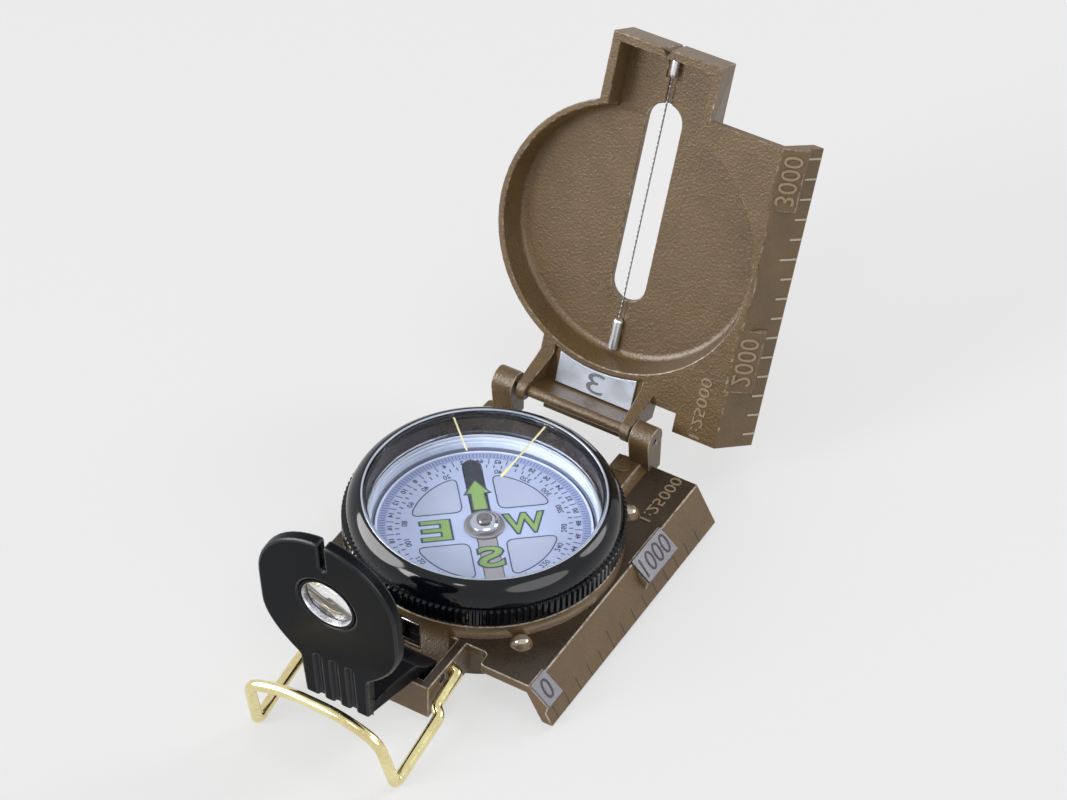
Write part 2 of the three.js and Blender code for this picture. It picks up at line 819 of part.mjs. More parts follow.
function buildCapsule() {
  const capsule = new THREE.Group();
  const sealLow = capsuleTop + plateGap;
  const windowLowFace = sealLow + sealHeight + plateGap;
  const seal = ring(capsuleOuter - sealWidth, capsuleOuter, sealLow, sealLow + sealHeight);
  const window = disc(capsuleOuter, windowLowFace, windowLowFace + capsuleWindow);
  capsule.add(piece('capsule_cup', capsuleCup(), whitePlastic));
  capsule.add(piece('capsule_seal', seal, rubber));
  capsule.add(piece('capsule_window', window, clear));
  capsule.add(piece('pivot_pin', pivotPin(), steel));
  return capsule;
}

// Dial, turning on the pivot
function magnetOutline(gap) {
  const radius = magnetWidth / 2 + gap;
  const centre = dialRadius - magnetMargin - magnetWidth / 2;
  return [...arc(0, centre, radius, 0, Math.PI, 8), ...arc(0, -centre, radius, Math.PI, 2 * Math.PI, 8)];
}

function dialCard() {
  const low = dialTop - dialThickness;
  const slot = prism('z', magnetOutline(pinGap), low - cutMargin, dialTop + cutMargin);
  return disc(dialRadius, low, dialTop).subtract(slot);
}

function barMagnet() {
  const bar = prism('z', magnetOutline(0), dialTop - magnetThickness, dialTop);
  return bar.subtract(rod('z', 0, 0, hubHole, dialTop - magnetThickness - cutMargin, dialTop + cutMargin));
}

function jewelCap() {
  const base = dialTop + plateGap;
  const shoulder = base + capFlangeHeight;
  const top = base + capHeight;
  const dome = new THREE.QuadraticBezierCurve(
    new THREE.Vector2(capRadius, shoulder),
    new THREE.Vector2(capRadius, top),
    new THREE.Vector2(0, top),
  );
  const socket = disc(jewelRadius + pinGap, base - cutMargin, jewelTop + pinGap, 24);
  const curve = dome.getPoints(6).map((point) => [point.x, point.y]);
  return turned([[0, base], [capFlange, base], [capFlange, shoulder], ...curve], 32).subtract(socket);
}

function jewelBearing() {
  const cupPoint = jewelLow + jewelCup;
  return turned([
    [0, cupPoint],
    [jewelCup, jewelLow],
    [jewelRadius, jewelLow],
    [jewelRadius, jewelTop],
    [0, jewelTop],
  ], 24);
}

function buildDial() {
  const dial = new THREE.Group();
  dial.rotation.z = dialNorth;
  dial.add(piece('dial_card', dialCard(), dialPrint));
  dial.add(piece('bar_magnet', barMagnet(), magnetGrey));
  dial.add(piece('jewel_cap', jewelCap(), steel));
  dial.add(piece('jewel_bearing', jewelBearing(), ruby));
  return dial;
}

// Lens bracket: a leaning plate on a foot. Its plate is drawn flat, with Y up the plate, and stood up.
function standUp(solid) {
  return solid.rotate([90, 0, 0]).translate([0, -bracketReach + bracketSheet, 0])
    .rotate([THREE.MathUtils.radToDeg(bracketLean), 0, 0])
    .translate([0, 0, bracketReach * Math.sin(bracketLean)]);
}

function bracketPlate() {
  const crown = arc(0, bracketCrown, bracketHalf, 0, Math.PI, 24);
  const side = new THREE.QuadraticBezierCurve(
    new THREE.Vector2(neckHalfTop, neckTop),
    new THREE.Vector2(bracketHalf, (neckTop + bracketShoulder) / 2),
    new THREE.Vector2(bracketHalf, bracketShoulder),
  ).getPoints(8).map((point) => [point.x, point.y]);
  const right = [[neckHalf, footLow], ...side];
  const left = right.map(([x, y]) => [-x, y]).reverse();
  const sheet = prism('z', [...right, ...crown, ...left], 0, bracketSheet);
  const front = bracketSheet + cutMargin;
  const sightTop = bracketCrown + bracketHalf;
  const grooves = [-1, 0, 1].map((step) => box(
    step * groovePitch - grooveWidth / 2, step * groovePitch + grooveWidth / 2,
    0, neckTop + groovePitch / 2, bracketSheet - grooveDepth, front,
  ));
  const seat = lensRadius + runningGap;
  return cut(sheet, [
    box(-sightWidth / 2, sightWidth / 2, sightTop - sightDepth, sightTop + cutMargin, -cutMargin, front),
    rod('z', 0, lensCentre, seat, lensLedge, front, 40),
    rod('z', 0, lensCentre, seat - lensRingWidth, -cutMargin, front, 40),
    ...grooves,
  ]);
}

function bracketFoot() {
  const front = -bracketReach + bracketSheet / 2;
  const plan = [
    [-neckHalf, front],
    [neckHalf, front],
    [footHalf, -footNarrow],
    [footHalf, knuckleRadius],
    [-footHalf, knuckleRadius],
    [-footHalf, -footNarrow],
  ];
  const top = footLow + footSheet;
  const profile = [
    [front, footLow],
    [front, top],
    [-footSlope, top],
    [footStart, footStart / 2],
    [0, 0],
    [-footStart, footStart / 2],
    [-footStart, footLow],
  ];
  const blank = prism('z', plan, -knuckleRadius, top);
  return prism('x', profile, -footHalf, footHalf).intersect(blank)
    .add(rod('x', 0, 0, knuckleRadius, -footHalf, footHalf));
}

function lensBracket() {
  const end = footHalf + cutMargin;
  const body = standUp(bracketPlate()).add(bracketFoot());
  return body.subtract(rod('x', 0, 0, bracketPinRadius + pinGap, -end, end));
}

function bracketLens() {
  const curve = (lensRadius ** 2 + lensBulge ** 2) / (2 * lensBulge);
  const edge = Math.asin(lensRadius / curve);
  const high = arc(0, lensEdge + lensBulge - curve, curve, Math.PI / 2 - edge, Math.PI / 2, 4).slice(0, -1);
  const low = arc(0, curve - lensBulge, curve, -Math.PI / 2, edge - Math.PI / 2, 4).slice(1);
  const back = bracketSheet - lensInset - lensEdge;
  const profile = [[0, -lensBulge], ...low, ...high, [0, lensEdge + lensBulge]];
  return turned(profile, 32).translate([0, lensCentre, back]);
}

function lensRing() {
  const front = bracketSheet - lensInset + pinGap;
  const outer = lensRadius + pinGap;
  return ring(outer - lensRingWidth, outer, front, front + lensRingSheet, 40).translate([0, lensCentre, 0]);
}

function buildBracket() {
  const bracket = new THREE.Group();
  bracket.position.set(0, bracketY, bracketZ);
  bracket.add(piece('lens_bracket', lensBracket(), satinBlack));
  bracket.add(piece('lens', standUp(bracketLens()), clear));
  bracket.add(piece('lens_ring', standUp(lensRing()), steel));
  return bracket;
}

// Thumb loop: one bent wire, drawn for the right half and mirrored.
function loopPath() {
  const bendZ = loopWire + loopFloorGap;
  const legZ = (y) => loopZ + (bendZ - loopZ) * (y - loopY) / (loopBendY - loopY);
  const jogY = loopKinkY - loopKinkLength;
  const crossZ = plateTop + loopCrossRise;
  const half = [
    [trayInner + pinGap, loopY, loopZ, 0],
    [loopLegX, loopY, loopZ, 1.1],
    [loopLegX, loopKinkY, legZ(loopKinkY), 0.9],
    [loopWide, jogY, legZ(jogY), 0.9],
    [loopWide, loopBendY, bendZ, 1.6],
    [loopCrossHalf, loopCrossY, crossZ, 3],
    [loopBowHalf, loopCrossY, crossZ + loopBow, 4],
  ];
  const corners = [...half, ...half.map(([x, y, z, r]) => [-x, y, z, r]).reverse()];
  const points = corners.map(([x, y, z]) => new THREE.Vector3(x, y, z));
  const path = new THREE.CurvePath();
  let last = points[0];
  for (let i = 1; i < points.length - 1; i += 1) {
    const reach = corners[i][3];
    const start = points[i].clone().add(points[i - 1].clone().sub(points[i]).setLength(reach));
    const end = points[i].clone().add(points[i + 1].clone().sub(points[i]).setLength(reach));
    path.add(new THREE.LineCurve3(last, start));
    path.add(new THREE.QuadraticBezierCurve3(start, points[i], end));
    last = end;
  }
  path.add(new THREE.LineCurve3(last, points.at(-1)));
  return path;
}

function thumbLoop() {
  const section = new THREE.Shape(circle(0, 0, loopWire, 8).map(([a, b]) => new THREE.Vector2(a, b)));
  const options = { steps: 100, extrudePath: loopPath(), bevelEnabled: false };
  return toSolid(new THREE.ExtrudeGeometry(section, options));
}

// Small fixed pieces of the case
function clickSpring() {
  const back = -cupRadius + windowDepth - runningGap;
  const front = -cupRadius + runningGap;
  const low = windowLow + runningGap;
  const high = plateTop + cupRise - runningGap / 2;
  const tab = windowHigh - 3 * springLeaf;
  const outline = [
    [front, low],
    [back, low],
    [back, high],
    [back - springLeaf, high],
    [back - springLeaf, tab + springLeaf],
    [front, tab + springLeaf],
    [front, tab],
    [back - springLeaf, tab],
    [back - springLeaf, low + springLeaf],
    [front, low + springLeaf],
  ];
  return prism('x', outline, runningGap - windowHalf, windowHalf - runningGap);
}

function lidPin() {
  const half = lugOuter - hingePinRecess;
  return rod('x', hingeY, hingeZ, hingePinRadius, -half, half);
}

function bracketPin() {
  return rod('x', bracketY, bracketZ, bracketPinRadius, -trayHalf, trayHalf);
}

const compass = new THREE.Group();
compass.add(piece('base_casting', baseCasting(), brownPaint));
compass.add(piece('scale_plate_0', scalePlate(scaleZero), silverPlate));
compass.add(piece('scale_plate_1000', scalePlate(scaleThousand), silverPlate));
compass.add(piece('lid_hinge_pin', lidPin(), darkSteel));
compass.add(piece('bracket_hinge_pin', bracketPin(), darkSteel));
compass.add(piece('bezel_click_spring', clickSpring(), steel));
compass.add(piece('thumb_loop', thumbLoop(), brass));
compass.add(buildCapsule());
compass.add(buildDial());
compass.add(buildBezel());
compass.add(buildLid());
compass.add(buildBracket());

export default compass;
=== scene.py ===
import math

import bmesh
import bpy
from bpy.props import FloatProperty, FloatVectorProperty, IntProperty, PointerProperty
from mathutils import Matrix, Vector


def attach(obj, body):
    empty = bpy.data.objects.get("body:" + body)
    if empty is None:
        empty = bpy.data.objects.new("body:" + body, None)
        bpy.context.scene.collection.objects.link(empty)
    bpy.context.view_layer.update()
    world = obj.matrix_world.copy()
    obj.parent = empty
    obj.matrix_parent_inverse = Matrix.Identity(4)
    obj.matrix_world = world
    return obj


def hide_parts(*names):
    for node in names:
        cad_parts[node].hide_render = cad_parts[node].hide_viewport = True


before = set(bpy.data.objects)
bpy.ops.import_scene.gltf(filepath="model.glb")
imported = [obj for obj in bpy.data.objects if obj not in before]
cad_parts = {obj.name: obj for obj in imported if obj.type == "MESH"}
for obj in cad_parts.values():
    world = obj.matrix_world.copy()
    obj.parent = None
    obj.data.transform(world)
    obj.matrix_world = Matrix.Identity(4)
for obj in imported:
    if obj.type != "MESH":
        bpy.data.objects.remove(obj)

bl_info = {
    "name": "Sighting compass",
    "version": (1, 0, 0),
    "blender": (4, 5, 0),
    "location": "View3D > Sidebar > Compass",
    "description": "Dresses a folding sighting compass in paint, print, glass and metal",
    "category": "Object",
}

MM = 0.001
FULL_TURN = 2 * math.pi
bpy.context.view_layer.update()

# Main lines of the compass, in millimetres
PLATE_TOP = 9.1
HINGE = (0, 33.3, 15)
LID_OPEN = math.radians(70.6)
LID_FACE = -5.9
DIAL_TOP = 11.5
DIAL_NORTH = math.radians(39.6)
BRACKET_PIN = (0, -32.7, 9.009)
BRACKET_LEAN = math.radians(5.7)
BRACKET_FOOT = (0, -13.8, 0)

LID = Matrix.Translation(HINGE) @ Matrix.Rotation(LID_OPEN, 4, "X")
DIAL = Matrix.Translation((0, 0, DIAL_TOP)) @ Matrix.Rotation(DIAL_NORTH, 4, "Z")
BEZEL = Matrix.Translation((0, 0, PLATE_TOP))
BRACKET = (
    Matrix.Translation(BRACKET_PIN)
    @ Matrix.Rotation(BRACKET_LEAN, 4, "X")
    @ Matrix.Translation(BRACKET_FOOT)
    @ Matrix.Rotation(math.radians(90), 4, "X")
)
MIRROR = Matrix.Diagonal((-1, 1, 1, 1))

# Angles at which edges count as sharp, as rounded and as flat, and distances that count as none
SHARP_ANGLE = math.radians(38)
ROUNDED_ANGLE = math.radians(28)
FLAT_ANGLE = math.radians(0.6)
LEVEL = 0.9999
WELD, FIGURE_WELD = 0.01, 1e-5
TINY, TINY_AREA = 1e-6, 1e-10


def tone(*levels):
    """A colour of screen levels, 0 to 255, as linear light."""
    shares = [level / 255 for level in levels]
    return tuple(s / 12.92 if s <= 0.04045 else ((s + 0.055) / 1.055) ** 2.4 for s in shares)


def size_prop(name, description, millimetres):
    default = millimetres * MM
    return FloatProperty(
        name=name, description=description, default=default, min=0, unit="LENGTH", precision=5
    )


def colour_prop(name, description, *levels):
    default = tone(*levels)
    return FloatVectorProperty(
        name=name, description=description, default=default, size=3, min=0, max=1, subtype="COLOR"
    )


class CompassSizes(bpy.types.PropertyGroup):
    """Sizes of the details that a user would change."""

    casting_edge: size_prop("Casting edge", "Rounding of the cast edges", 0.2)
    bracket_edge: size_prop("Bracket edge", "Rounding of the moulded lens bracket", 0.5)
    sheet_edge: size_prop("Sheet edge", "Rounding of stamped plates and small parts", 0.08)
    casting_pore: size_prop("Casting pore", "Size of the grain in the cast paint", 0.42)
    knurl_depth: size_prop("Knurl depth", "Depth of the grooves round the bezel", 0.5)
    knurl_teeth: IntProperty(
        name="Knurl teeth", description="Teeth round the bezel", default=132, min=12
    )
    tick_width: size_prop("Tick width", "Width of the base ruler's lines", 0.22)
    lid_tick_width: size_prop("Lid tick width", "Width of the lid ruler's lines", 0.34)
    short_tick: size_prop("Short tick", "Length of a hundred-metre line", 2.7)
    long_tick: size_prop("Long tick", "Length of a five-hundred-metre line", 3.9)
    plate_figure: size_prop("Plate figure", "Height of the numbers on the rulers", 3.6)
    scale_figure: size_prop("Scale figure", "Height of the map scale's figures", 2.2)
    dial_figure: size_prop("Dial figure", "Height of the degree numbers", 1.1)
    mil_figure: size_prop("Inner figure", "Height of the small numbers between the rings", 1.05)
    ink_outline: size_prop("Ink outline", "Width of the dark outline round the letters", 0.32)
    strand: size_prop("Wire strand", "Radius of one strand of the sighting wire", 0.1)
    loop_wire: size_prop("Loop wire", "Radius of the thumb loop's wire", 1.05)


class CompassColours(bpy.types.PropertyGroup):
    """Colours that a user would change."""

    paint: colour_prop("Paint", "Brown paint of the castings", 113, 89, 54)
    paint_shade: colour_prop("Paint shade", "Darker patches in the paint", 100, 78, 47)
    # The paint in the well round the capsule is darker: painted shade in the recess
    paint_deep: colour_prop("Paint in the well", "Paint round the capsule", 62, 50, 38)
    # The pale edge colour is partly real wear and partly a painted highlight on the rounded edges
    rubbed: colour_prop("Rubbed edge", "Paint where the edges are rubbed bright", 188, 176, 158)
    # Both silvers are painted reflection on smooth pads, the lid's brighter than the base's
    silver: colour_prop("Silver", "Number plate on the lid", 212, 220, 234)
    dull_silver: colour_prop("Dull silver", "Number plates on the base", 112, 111, 117)
    figure: colour_prop("Figure", "Dark figures on the silver plates", 52, 48, 48)
    stamped: colour_prop("Stamped figure", "Figure stamped in the lid's plate", 118, 121, 130)
    # Raised figures are paler than the paint: a painted highlight on their relief
    raised: colour_prop("Raised figure", "Raised figures in the paint", 154, 135, 108)
    scored: colour_prop("Scored line", "Lines cut in the base's ruler", 66, 53, 39)
    tick: colour_prop("Tick", "Rubbed lines of the lid's ruler", 192, 180, 162)
    # The bumps' pale tops are partly wear and partly a painted highlight
    worn: colour_prop("Worn bump", "Polished tops of the bumps", 198, 188, 174)
    bezel: colour_prop("Bezel", "Gloss black bezel", 10, 13, 19)
    # The rim's pale colour is a painted highlight: a bright line round the crystal
    rim: colour_prop("Bezel rim", "Bright line round the crystal", 192, 200, 214)
    bracket: colour_prop("Bracket", "Satin black bracket", 9, 11, 16)
    # The bracket's edge colour is a painted highlight on its rounded edges
    bracket_edge: colour_prop("Bracket edge", "Rubbed edges of the bracket", 19, 22, 28)
    steel: colour_prop("Steel", "Bright steel", 222, 222, 226)
    wire: colour_prop("Wire", "Sighting wire", 132, 131, 130)
    dark_steel: colour_prop("Dark steel", "Hinge pins", 62, 60, 60)
    brass: colour_prop("Brass", "Thumb loop", 246, 224, 168)
    cap: colour_prop("Cap", "Polished cap over the pivot", 214, 216, 220)
    flange: colour_prop("Cap flange", "Dull foot of the cap", 150, 142, 138)
    ruby: colour_prop("Ruby", "Jewel that the dial turns on", 150, 36, 58)
    capsule: colour_prop("Capsule", "White capsule wall", 236, 240, 250)
    # A dark grey ring at the card's edge: painted shade in the gap by the capsule wall
    trough: colour_prop("Trough", "Grey ring round the card", 118, 123, 141)
    seal: colour_prop("Seal", "Rubber seal under the window", 208, 212, 220)
    card: colour_prop("Card", "Pale dial card", 190, 196, 219)
    # The card's outer band is darker as painted shade at the rim of the card
    band: colour_prop("Card band", "Outer band of the card", 160, 168, 202)
    window: colour_prop("Card window", "Panels on the dial card", 184, 188, 205)
    ink: colour_prop("Ink", "Dark print on the dial", 54, 61, 86)
    letter: colour_prop("Letter", "Green letters and arrow", 142, 172, 96)
    north: colour_prop("North bar", "North half of the magnet", 52, 53, 62)
    south: colour_prop("South bar", "South half of the magnet", 168, 160, 160)
    line: colour_prop("Bearing line", "Luminous lines under the crystal", 226, 221, 168)
    glass: colour_prop("Glass", "Crystal and lens", 250, 252, 255)
    floor: colour_prop("Floor", "Floor and background", 230, 230, 230)


def sizes():
    return bpy.context.scene.compass_sizes


def colours():
    return bpy.context.scene.compass_colours


# Shader nodes

NUMBER, COLOUR = "NodeSocketFloat", "NodeSocketColor"

# Range of the slow change of tone that handling gives a finish
TONE_LOW, TONE_HIGH = 0.9, 1.08


def node(tree, kind, inputs=None, **settings):
    """A node with its settings, and each input set to a value or linked to a socket."""
    made = tree.nodes.new(kind)
    for key, value in settings.items():
        setattr(made, key, value)
    for key, value in (inputs or {}).items():
        if isinstance(value, bpy.types.NodeSocket):
            tree.links.new(value, made.inputs[key])
        else:
            made.inputs[key].default_value = value
    return made


def math_node(tree, operation, first, second):
    return node(tree, "ShaderNodeMath", {0: first, 1: second}, operation=operation).outputs[0]


def mix_colour(tree, factor, first, second):
    inputs = {0: factor, 6: first, 7: second}
    return node(tree, "ShaderNodeMix", inputs, data_type="RGBA").outputs[2]


def mix_shaders(tree, factor, first, second, output):
    """Mixes two shaders into the surface of a material or a world."""
    inputs = {0: factor, 1: first.outputs[0], 2: second.outputs[0]}
    mixed = node(tree, "ShaderNodeMixShader", inputs)
    tree.links.new(mixed.outputs[0], tree.nodes[output].inputs["Surface"])


def spread(tree, value, low, high, start=0.0, end=1.0):
    inputs = {"Value": value, "From Min": low, "From Max": high, "To Min": start, "To Max": end}
    return node(tree, "ShaderNodeMapRange", inputs).outputs["Result"]


def set_inputs(shader, values):
    for key, value in values.items():
        shader.inputs[key].default_value = value


def rgba(colour):
    return (*colour, 1)


def start_group(name, inputs, outputs):
    """A shader node group with named sockets, its two end nodes, and places on the piece."""
    tree = bpy.data.node_groups.new(name, "ShaderNodeTree")
    for label, default in inputs.items():
        kind = COLOUR if isinstance(default, tuple) else NUMBER
        socket = tree.interface.new_socket(name=label, in_out="INPUT", socket_type=kind)
        socket.default_value = default
    for label, kind in outputs.items():
        tree.interface.new_socket(name=label, in_out="OUTPUT", socket_type=kind)
    given, result = tree.nodes.new("NodeGroupInput"), tree.nodes.new("NodeGroupOutput")
    return tree, given, result, node(tree, "ShaderNodeTexCoord").outputs["Object"]


def noise(tree, place, scale, detail, roughness):
    inputs = {"Vector": place, "Scale": scale, "Detail": detail, "Roughness": roughness}
    return node(tree, "ShaderNodeTexNoise", inputs).outputs["Fac"]


def cast_grain(name):
    """Leathery grain of sprayed castings: its height, and slow patches."""
    outputs = {"Height": NUMBER, "Patches": NUMBER}
    tree, given, result, place = start_group(name, {"Pore": 0.0005}, outputs)
    scale = math_node(tree, "DIVIDE", 1.0, given.outputs["Pore"])
    fine = noise(tree, place, scale, 4, 0.6)
    cell_scale = math_node(tree, "MULTIPLY", scale, 0.8)
    inputs = {"Vector": place, "Scale": cell_scale, "Smoothness": 0.7}
    cells = node(tree, "ShaderNodeTexVoronoi", inputs, feature="SMOOTH_F1").outputs["Distance"]
    patches = noise(tree, place, math_node(tree, "MULTIPLY", scale, 0.07), 3, 0.6)
    height = math_node(tree, "ADD", fine, math_node(tree, "MULTIPLY", cells, 0.6))
    tree.links.new(height, result.inputs["Height"])
    tree.links.new(patches, result.inputs["Patches"])
    return tree


def rubbed_edges(name):
    """Paint that wears to a brighter tone in broken runs. The brighter tone is partly wear and
    partly a painted highlight on the edges.
    """
    inputs = {"Coating": (0.1, 0.1, 0.1, 1), "Bare": (0.5, 0.5, 0.5, 1), "Wear": 0.5, "Size": 0.002}
    tree, given, result, place = start_group(name, inputs, {"Color": COLOUR})
    scale = math_node(tree, "DIVIDE", 1.0, given.outputs["Size"])
    runs = noise(tree, place, scale, 5, 0.65)
    worn = math_node(tree, "MULTIPLY", given.outputs["Wear"], 0.7)
    level = math_node(tree, "SUBTRACT", 0.85, worn)
    mask = spread(tree, runs, level, math_node(tree, "ADD", level, 0.18))
    mixed = mix_colour(tree, mask, given.outputs["Coating"], given.outputs["Bare"])
    tree.links.new(mixed, result.inputs["Color"])
    return tree


def handling(name):
    """Smudges from fingers and cloth: a roughness, clean to smudged, and a change of tone."""
    inputs = {"Clean": 0.1, "Smudged": 0.3, "Size": 0.006}
    tree, given, result, place = start_group(name, inputs, {"Roughness": NUMBER, "Tone": NUMBER})
    scale = math_node(tree, "DIVIDE", 1.0, given.outputs["Size"])
    cloud = noise(tree, place, scale, 4, 0.6)
    fine = noise(tree, place, math_node(tree, "MULTIPLY", scale, 14.0), 2, 0.5)
    broad, small = math_node(tree, "MULTIPLY", cloud, 0.75), math_node(tree, "MULTIPLY", fine, 0.25)
    both = math_node(tree, "ADD", broad, small)
    rough = spread(tree, both, 0.35, 0.68, given.outputs["Clean"], given.outputs["Smudged"])
    tree.links.new(rough, result.inputs["Roughness"])
    tree.links.new(spread(tree, both, 0.3, 0.7, TONE_LOW, TONE_HIGH), result.inputs["Tone"])
    return tree


def group_node(tree, build, **inputs):
    """A node for one of the shared groups, which is built when it is first used."""
    name = build.__name__.replace("_", " ").capitalize()
    group = bpy.data.node_groups.get(name) or build(name)
    return node(tree, "ShaderNodeGroup", inputs, node_tree=group)


# Finishes

# Smooth ones: colour, roughness clean and smudged, metal, tone, smudge in millimetres
SMOOTH = {
    "gloss_bezel": ("bezel", 0.06, 0.15, 0.0, 0.1, 8),
    "rim_sheen": ("rim", 0.12, 0.24, 0.5, 0.08, 6),
    "wire_metal": ("wire", 0.25, 0.4, 0.8, 0.1, 1),
    "loop_brass": ("brass", 0.1, 0.2, 1.0, 0.26, 9),
    "capsule_white": ("capsule", 0.25, 0.4, 0.0, 0.03, 6),
    "chrome_cap": ("cap", 0.05, 0.14, 1.0, 0.04, 3),
    "cap_boss": ("flange", 0.12, 0.26, 1.0, 0.08, 2),
    "ruby_jewel": ("ruby", 0.05, 0.12, 0.0, 0.06, 6),
}

# Grained ones: colour, pore in millimetres, bump, roughness clean and smudged, metal, tone
GRAINED = {
    "well_paint": ("paint_deep", 0.42, 0.3, 0.22, 0.38, 0.0, 0.2),
    "stamped_silver": ("silver", 0.3, 0.25, 0.32, 0.48, 0.55, 0.08),
    "dull_silver": ("dull_silver", 0.3, 0.25, 0.34, 0.5, 0.4, 0.08),
    "figure_ink": ("figure", 0.25, 0.2, 0.45, 0.6, 0.0, 0.06),
    "stamped_figure": ("stamped", 0.25, 0.2, 0.4, 0.55, 0.3, 0.06),
    "worn_bump": ("worn", 0.3, 0.1, 0.12, 0.26, 0.7, 0.06),
    "raised_paint": ("raised", 0.25, 0.2, 0.35, 0.5, 0.0, 0.06),
    "scored_line": ("scored", 0.25, 0.2, 0.5, 0.65, 0.0, 0.06),
    "rubbed_tick": ("tick", 0.25, 0.2, 0.4, 0.55, 0.0, 0.06),
    "satin_bracket": ("bracket", 0.16, 0.2, 0.3, 0.42, 0.0, 0.1),
    "bracket_rub": ("bracket_edge", 0.16, 0.2, 0.28, 0.4, 0.0, 0.1),
    "bright_metal": ("steel", 0.2, 0.06, 0.2, 0.34, 0.85, 0.06),
    "pin_metal": ("dark_steel", 0.2, 0.15, 0.3, 0.5, 1.0, 0.06),
    "pale_seal": ("seal", 0.12, 0.3, 0.6, 0.8, 0.0, 0.06),
    "card_print": ("card", 0.18, 0.06, 0.4, 0.55, 0.0, 0.03),
    "trough_grey": ("trough", 0.18, 0.06, 0.4, 0.55, 0.0, 0.04),
    "card_band": ("band", 0.18, 0.06, 0.4, 0.55, 0.0, 0.03),
    "card_window": ("window", 0.18, 0.06, 0.3, 0.45, 0.0, 0.03),
    "dial_ink": ("ink", 0.15, 0.06, 0.45, 0.6, 0.0, 0.06),
    "letter_green": ("letter", 0.2, 0.12, 0.4, 0.55, 0.0, 0.08),
    "north_bar": ("north", 0.2, 0.15, 0.35, 0.5, 0.35, 0.1),
    "south_bar": ("south", 0.2, 0.15, 0.35, 0.5, 0.2, 0.1),
    "cap_flange": ("flange", 0.2, 0.1, 0.3, 0.45, 0.6, 0.08),
    "bearing_line": ("line", 0.15, 0.1, 0.45, 0.6, 0.0, 0.05),
}

# Brown paint by its wear, which also sets how much painted highlight its edges get, and glass by
# its index
PAINTED = {"cast_paint": 0.02, "rubbed_paint": 0.72, "lid_edge": 0.5}
GLASS = {"clear_glass": 1.2, "lens_glass": 1.46}

# Gloss settings that some finishes have besides
DULL = {"Specular IOR Level": 0.25}
GLOSS = {
    "gloss_bezel": {"Specular IOR Level": 0.3, "Coat Weight": 0.15, "Coat Roughness": 0.05},
    "satin_bracket": {"Specular IOR Level": 0.07},
    "bracket_rub": {"Specular IOR Level": 0.3},
    "card_print": DULL,
    "card_band": DULL,
    "card_window": DULL,
    "letter_green": DULL,
}
PAINT_GLOSS = {"Coat Weight": 0.1, "Coat Roughness": 0.25}

# In millimetres: usual and broad smudges, runs of rubbed paint with its painted edge highlight,
# relief of the paint's grain
SMUDGE, BROAD_SMUDGE, EDGE_WEAR_AND_HIGHLIGHT_RUN, PAINT_RELIEF = 6, 9, 1.6, 0.16

# Relief of a fine grain as a share of its pore
GRAIN_RELIEF = 0.3


def start_finish(name):
    """A new material, its node tree and its shader."""
    material = bpy.data.materials.new(name)
    material.use_nodes = True
    tree = material.node_tree
    return material, tree, tree.nodes["Principled BSDF"]


def bump(tree, shader, height, strength, distance):
    inputs = {"Height": height, "Strength": strength, "Distance": distance}
    made = node(tree, "ShaderNodeBump", inputs)
    tree.links.new(made.outputs["Normal"], shader.inputs["Normal"])


def smudge(tree, shader, clean, smudged, size):
    """Smudges in the gloss of a shader. Returns the slow tone that goes with them."""
    group = group_node(tree, handling, Clean=clean, Smudged=smudged, Size=size * MM)
    tree.links.new(group.outputs["Roughness"], shader.inputs["Roughness"])
    return group.outputs["Tone"]


def smooth(name, colour, clean, smudged, metal, share, size):
    """A finish with smudges in its gloss and a slight change of tone."""
    material, tree, shader = start_finish(name)
    slow = spread(tree, smudge(tree, shader, clean, smudged, size), TONE_LOW, TONE_HIGH)
    levels = getattr(colours(), colour)
    dark = rgba([level * (1 - share) for level in levels])
    light = rgba([min(1, level * (1 + share)) for level in levels])
    tree.links.new(mix_colour(tree, slow, dark, light), shader.inputs["Base Color"])
    set_inputs(shader, {"Metallic": metal, **GLOSS.get(name, {})})
    return material


def grained(name, colour, pore, strength, clean, smudged, metal, share):
    """A smooth finish with a fine grain in its surface."""
    material = smooth(name, colour, clean, smudged, metal, share, SMUDGE)
    tree = material.node_tree
    grain = group_node(tree, cast_grain, Pore=pore * MM)
    shader = tree.nodes["Principled BSDF"]
    bump(tree, shader, grain.outputs["Height"], strength, pore * MM * GRAIN_RELIEF)
    return material


def painted(name, wear):
    """Brown paint with its grain, rubbed bright as far as it is worn. The bright edges are partly
    wear and partly a painted highlight.
    """
    look = colours()
    material, tree, shader = start_finish(name)
    grain = group_node(tree, cast_grain, Pore=sizes().casting_pore)
    patches = spread(tree, grain.outputs["Patches"], 0.3, 0.7)
    coating = mix_colour(tree, patches, rgba(look.paint_shade), rgba(look.paint))
    bare_and_highlight = rgba(look.rubbed)
    rubbed = group_node(
        tree, rubbed_edges, Coating=coating, Bare=bare_and_highlight, Wear=wear, Size=EDGE_WEAR_AND_HIGHLIGHT_RUN * MM
    )
    tree.links.new(rubbed.outputs["Color"], shader.inputs["Base Color"])
    smudge(tree, shader, clean=0.33, smudged=0.47, size=BROAD_SMUDGE)
    bump(tree, shader, grain.outputs["Height"], strength=0.7, distance=PAINT_RELIEF * MM)
    set_inputs(shader, PAINT_GLOSS)
    return material


def glass(name, index):
    """Clear glass that lets light straight through to what lies below it."""
    material, tree, shader = start_finish(name)
    tint = rgba(colours().glass)
    smudge(tree, shader, clean=0.01, smudged=0.035, size=BROAD_SMUDGE)
    set_inputs(shader, {"Base Color": tint, "Transmission Weight": 1.0, "IOR": index})
    clear = node(tree, "ShaderNodeBsdfTransparent", {"Color": tint})
    shadow = node(tree, "ShaderNodeLightPath").outputs["Is Shadow Ray"]
    mix_shaders(tree, shadow, shader, clear, "Material Output")
    return material


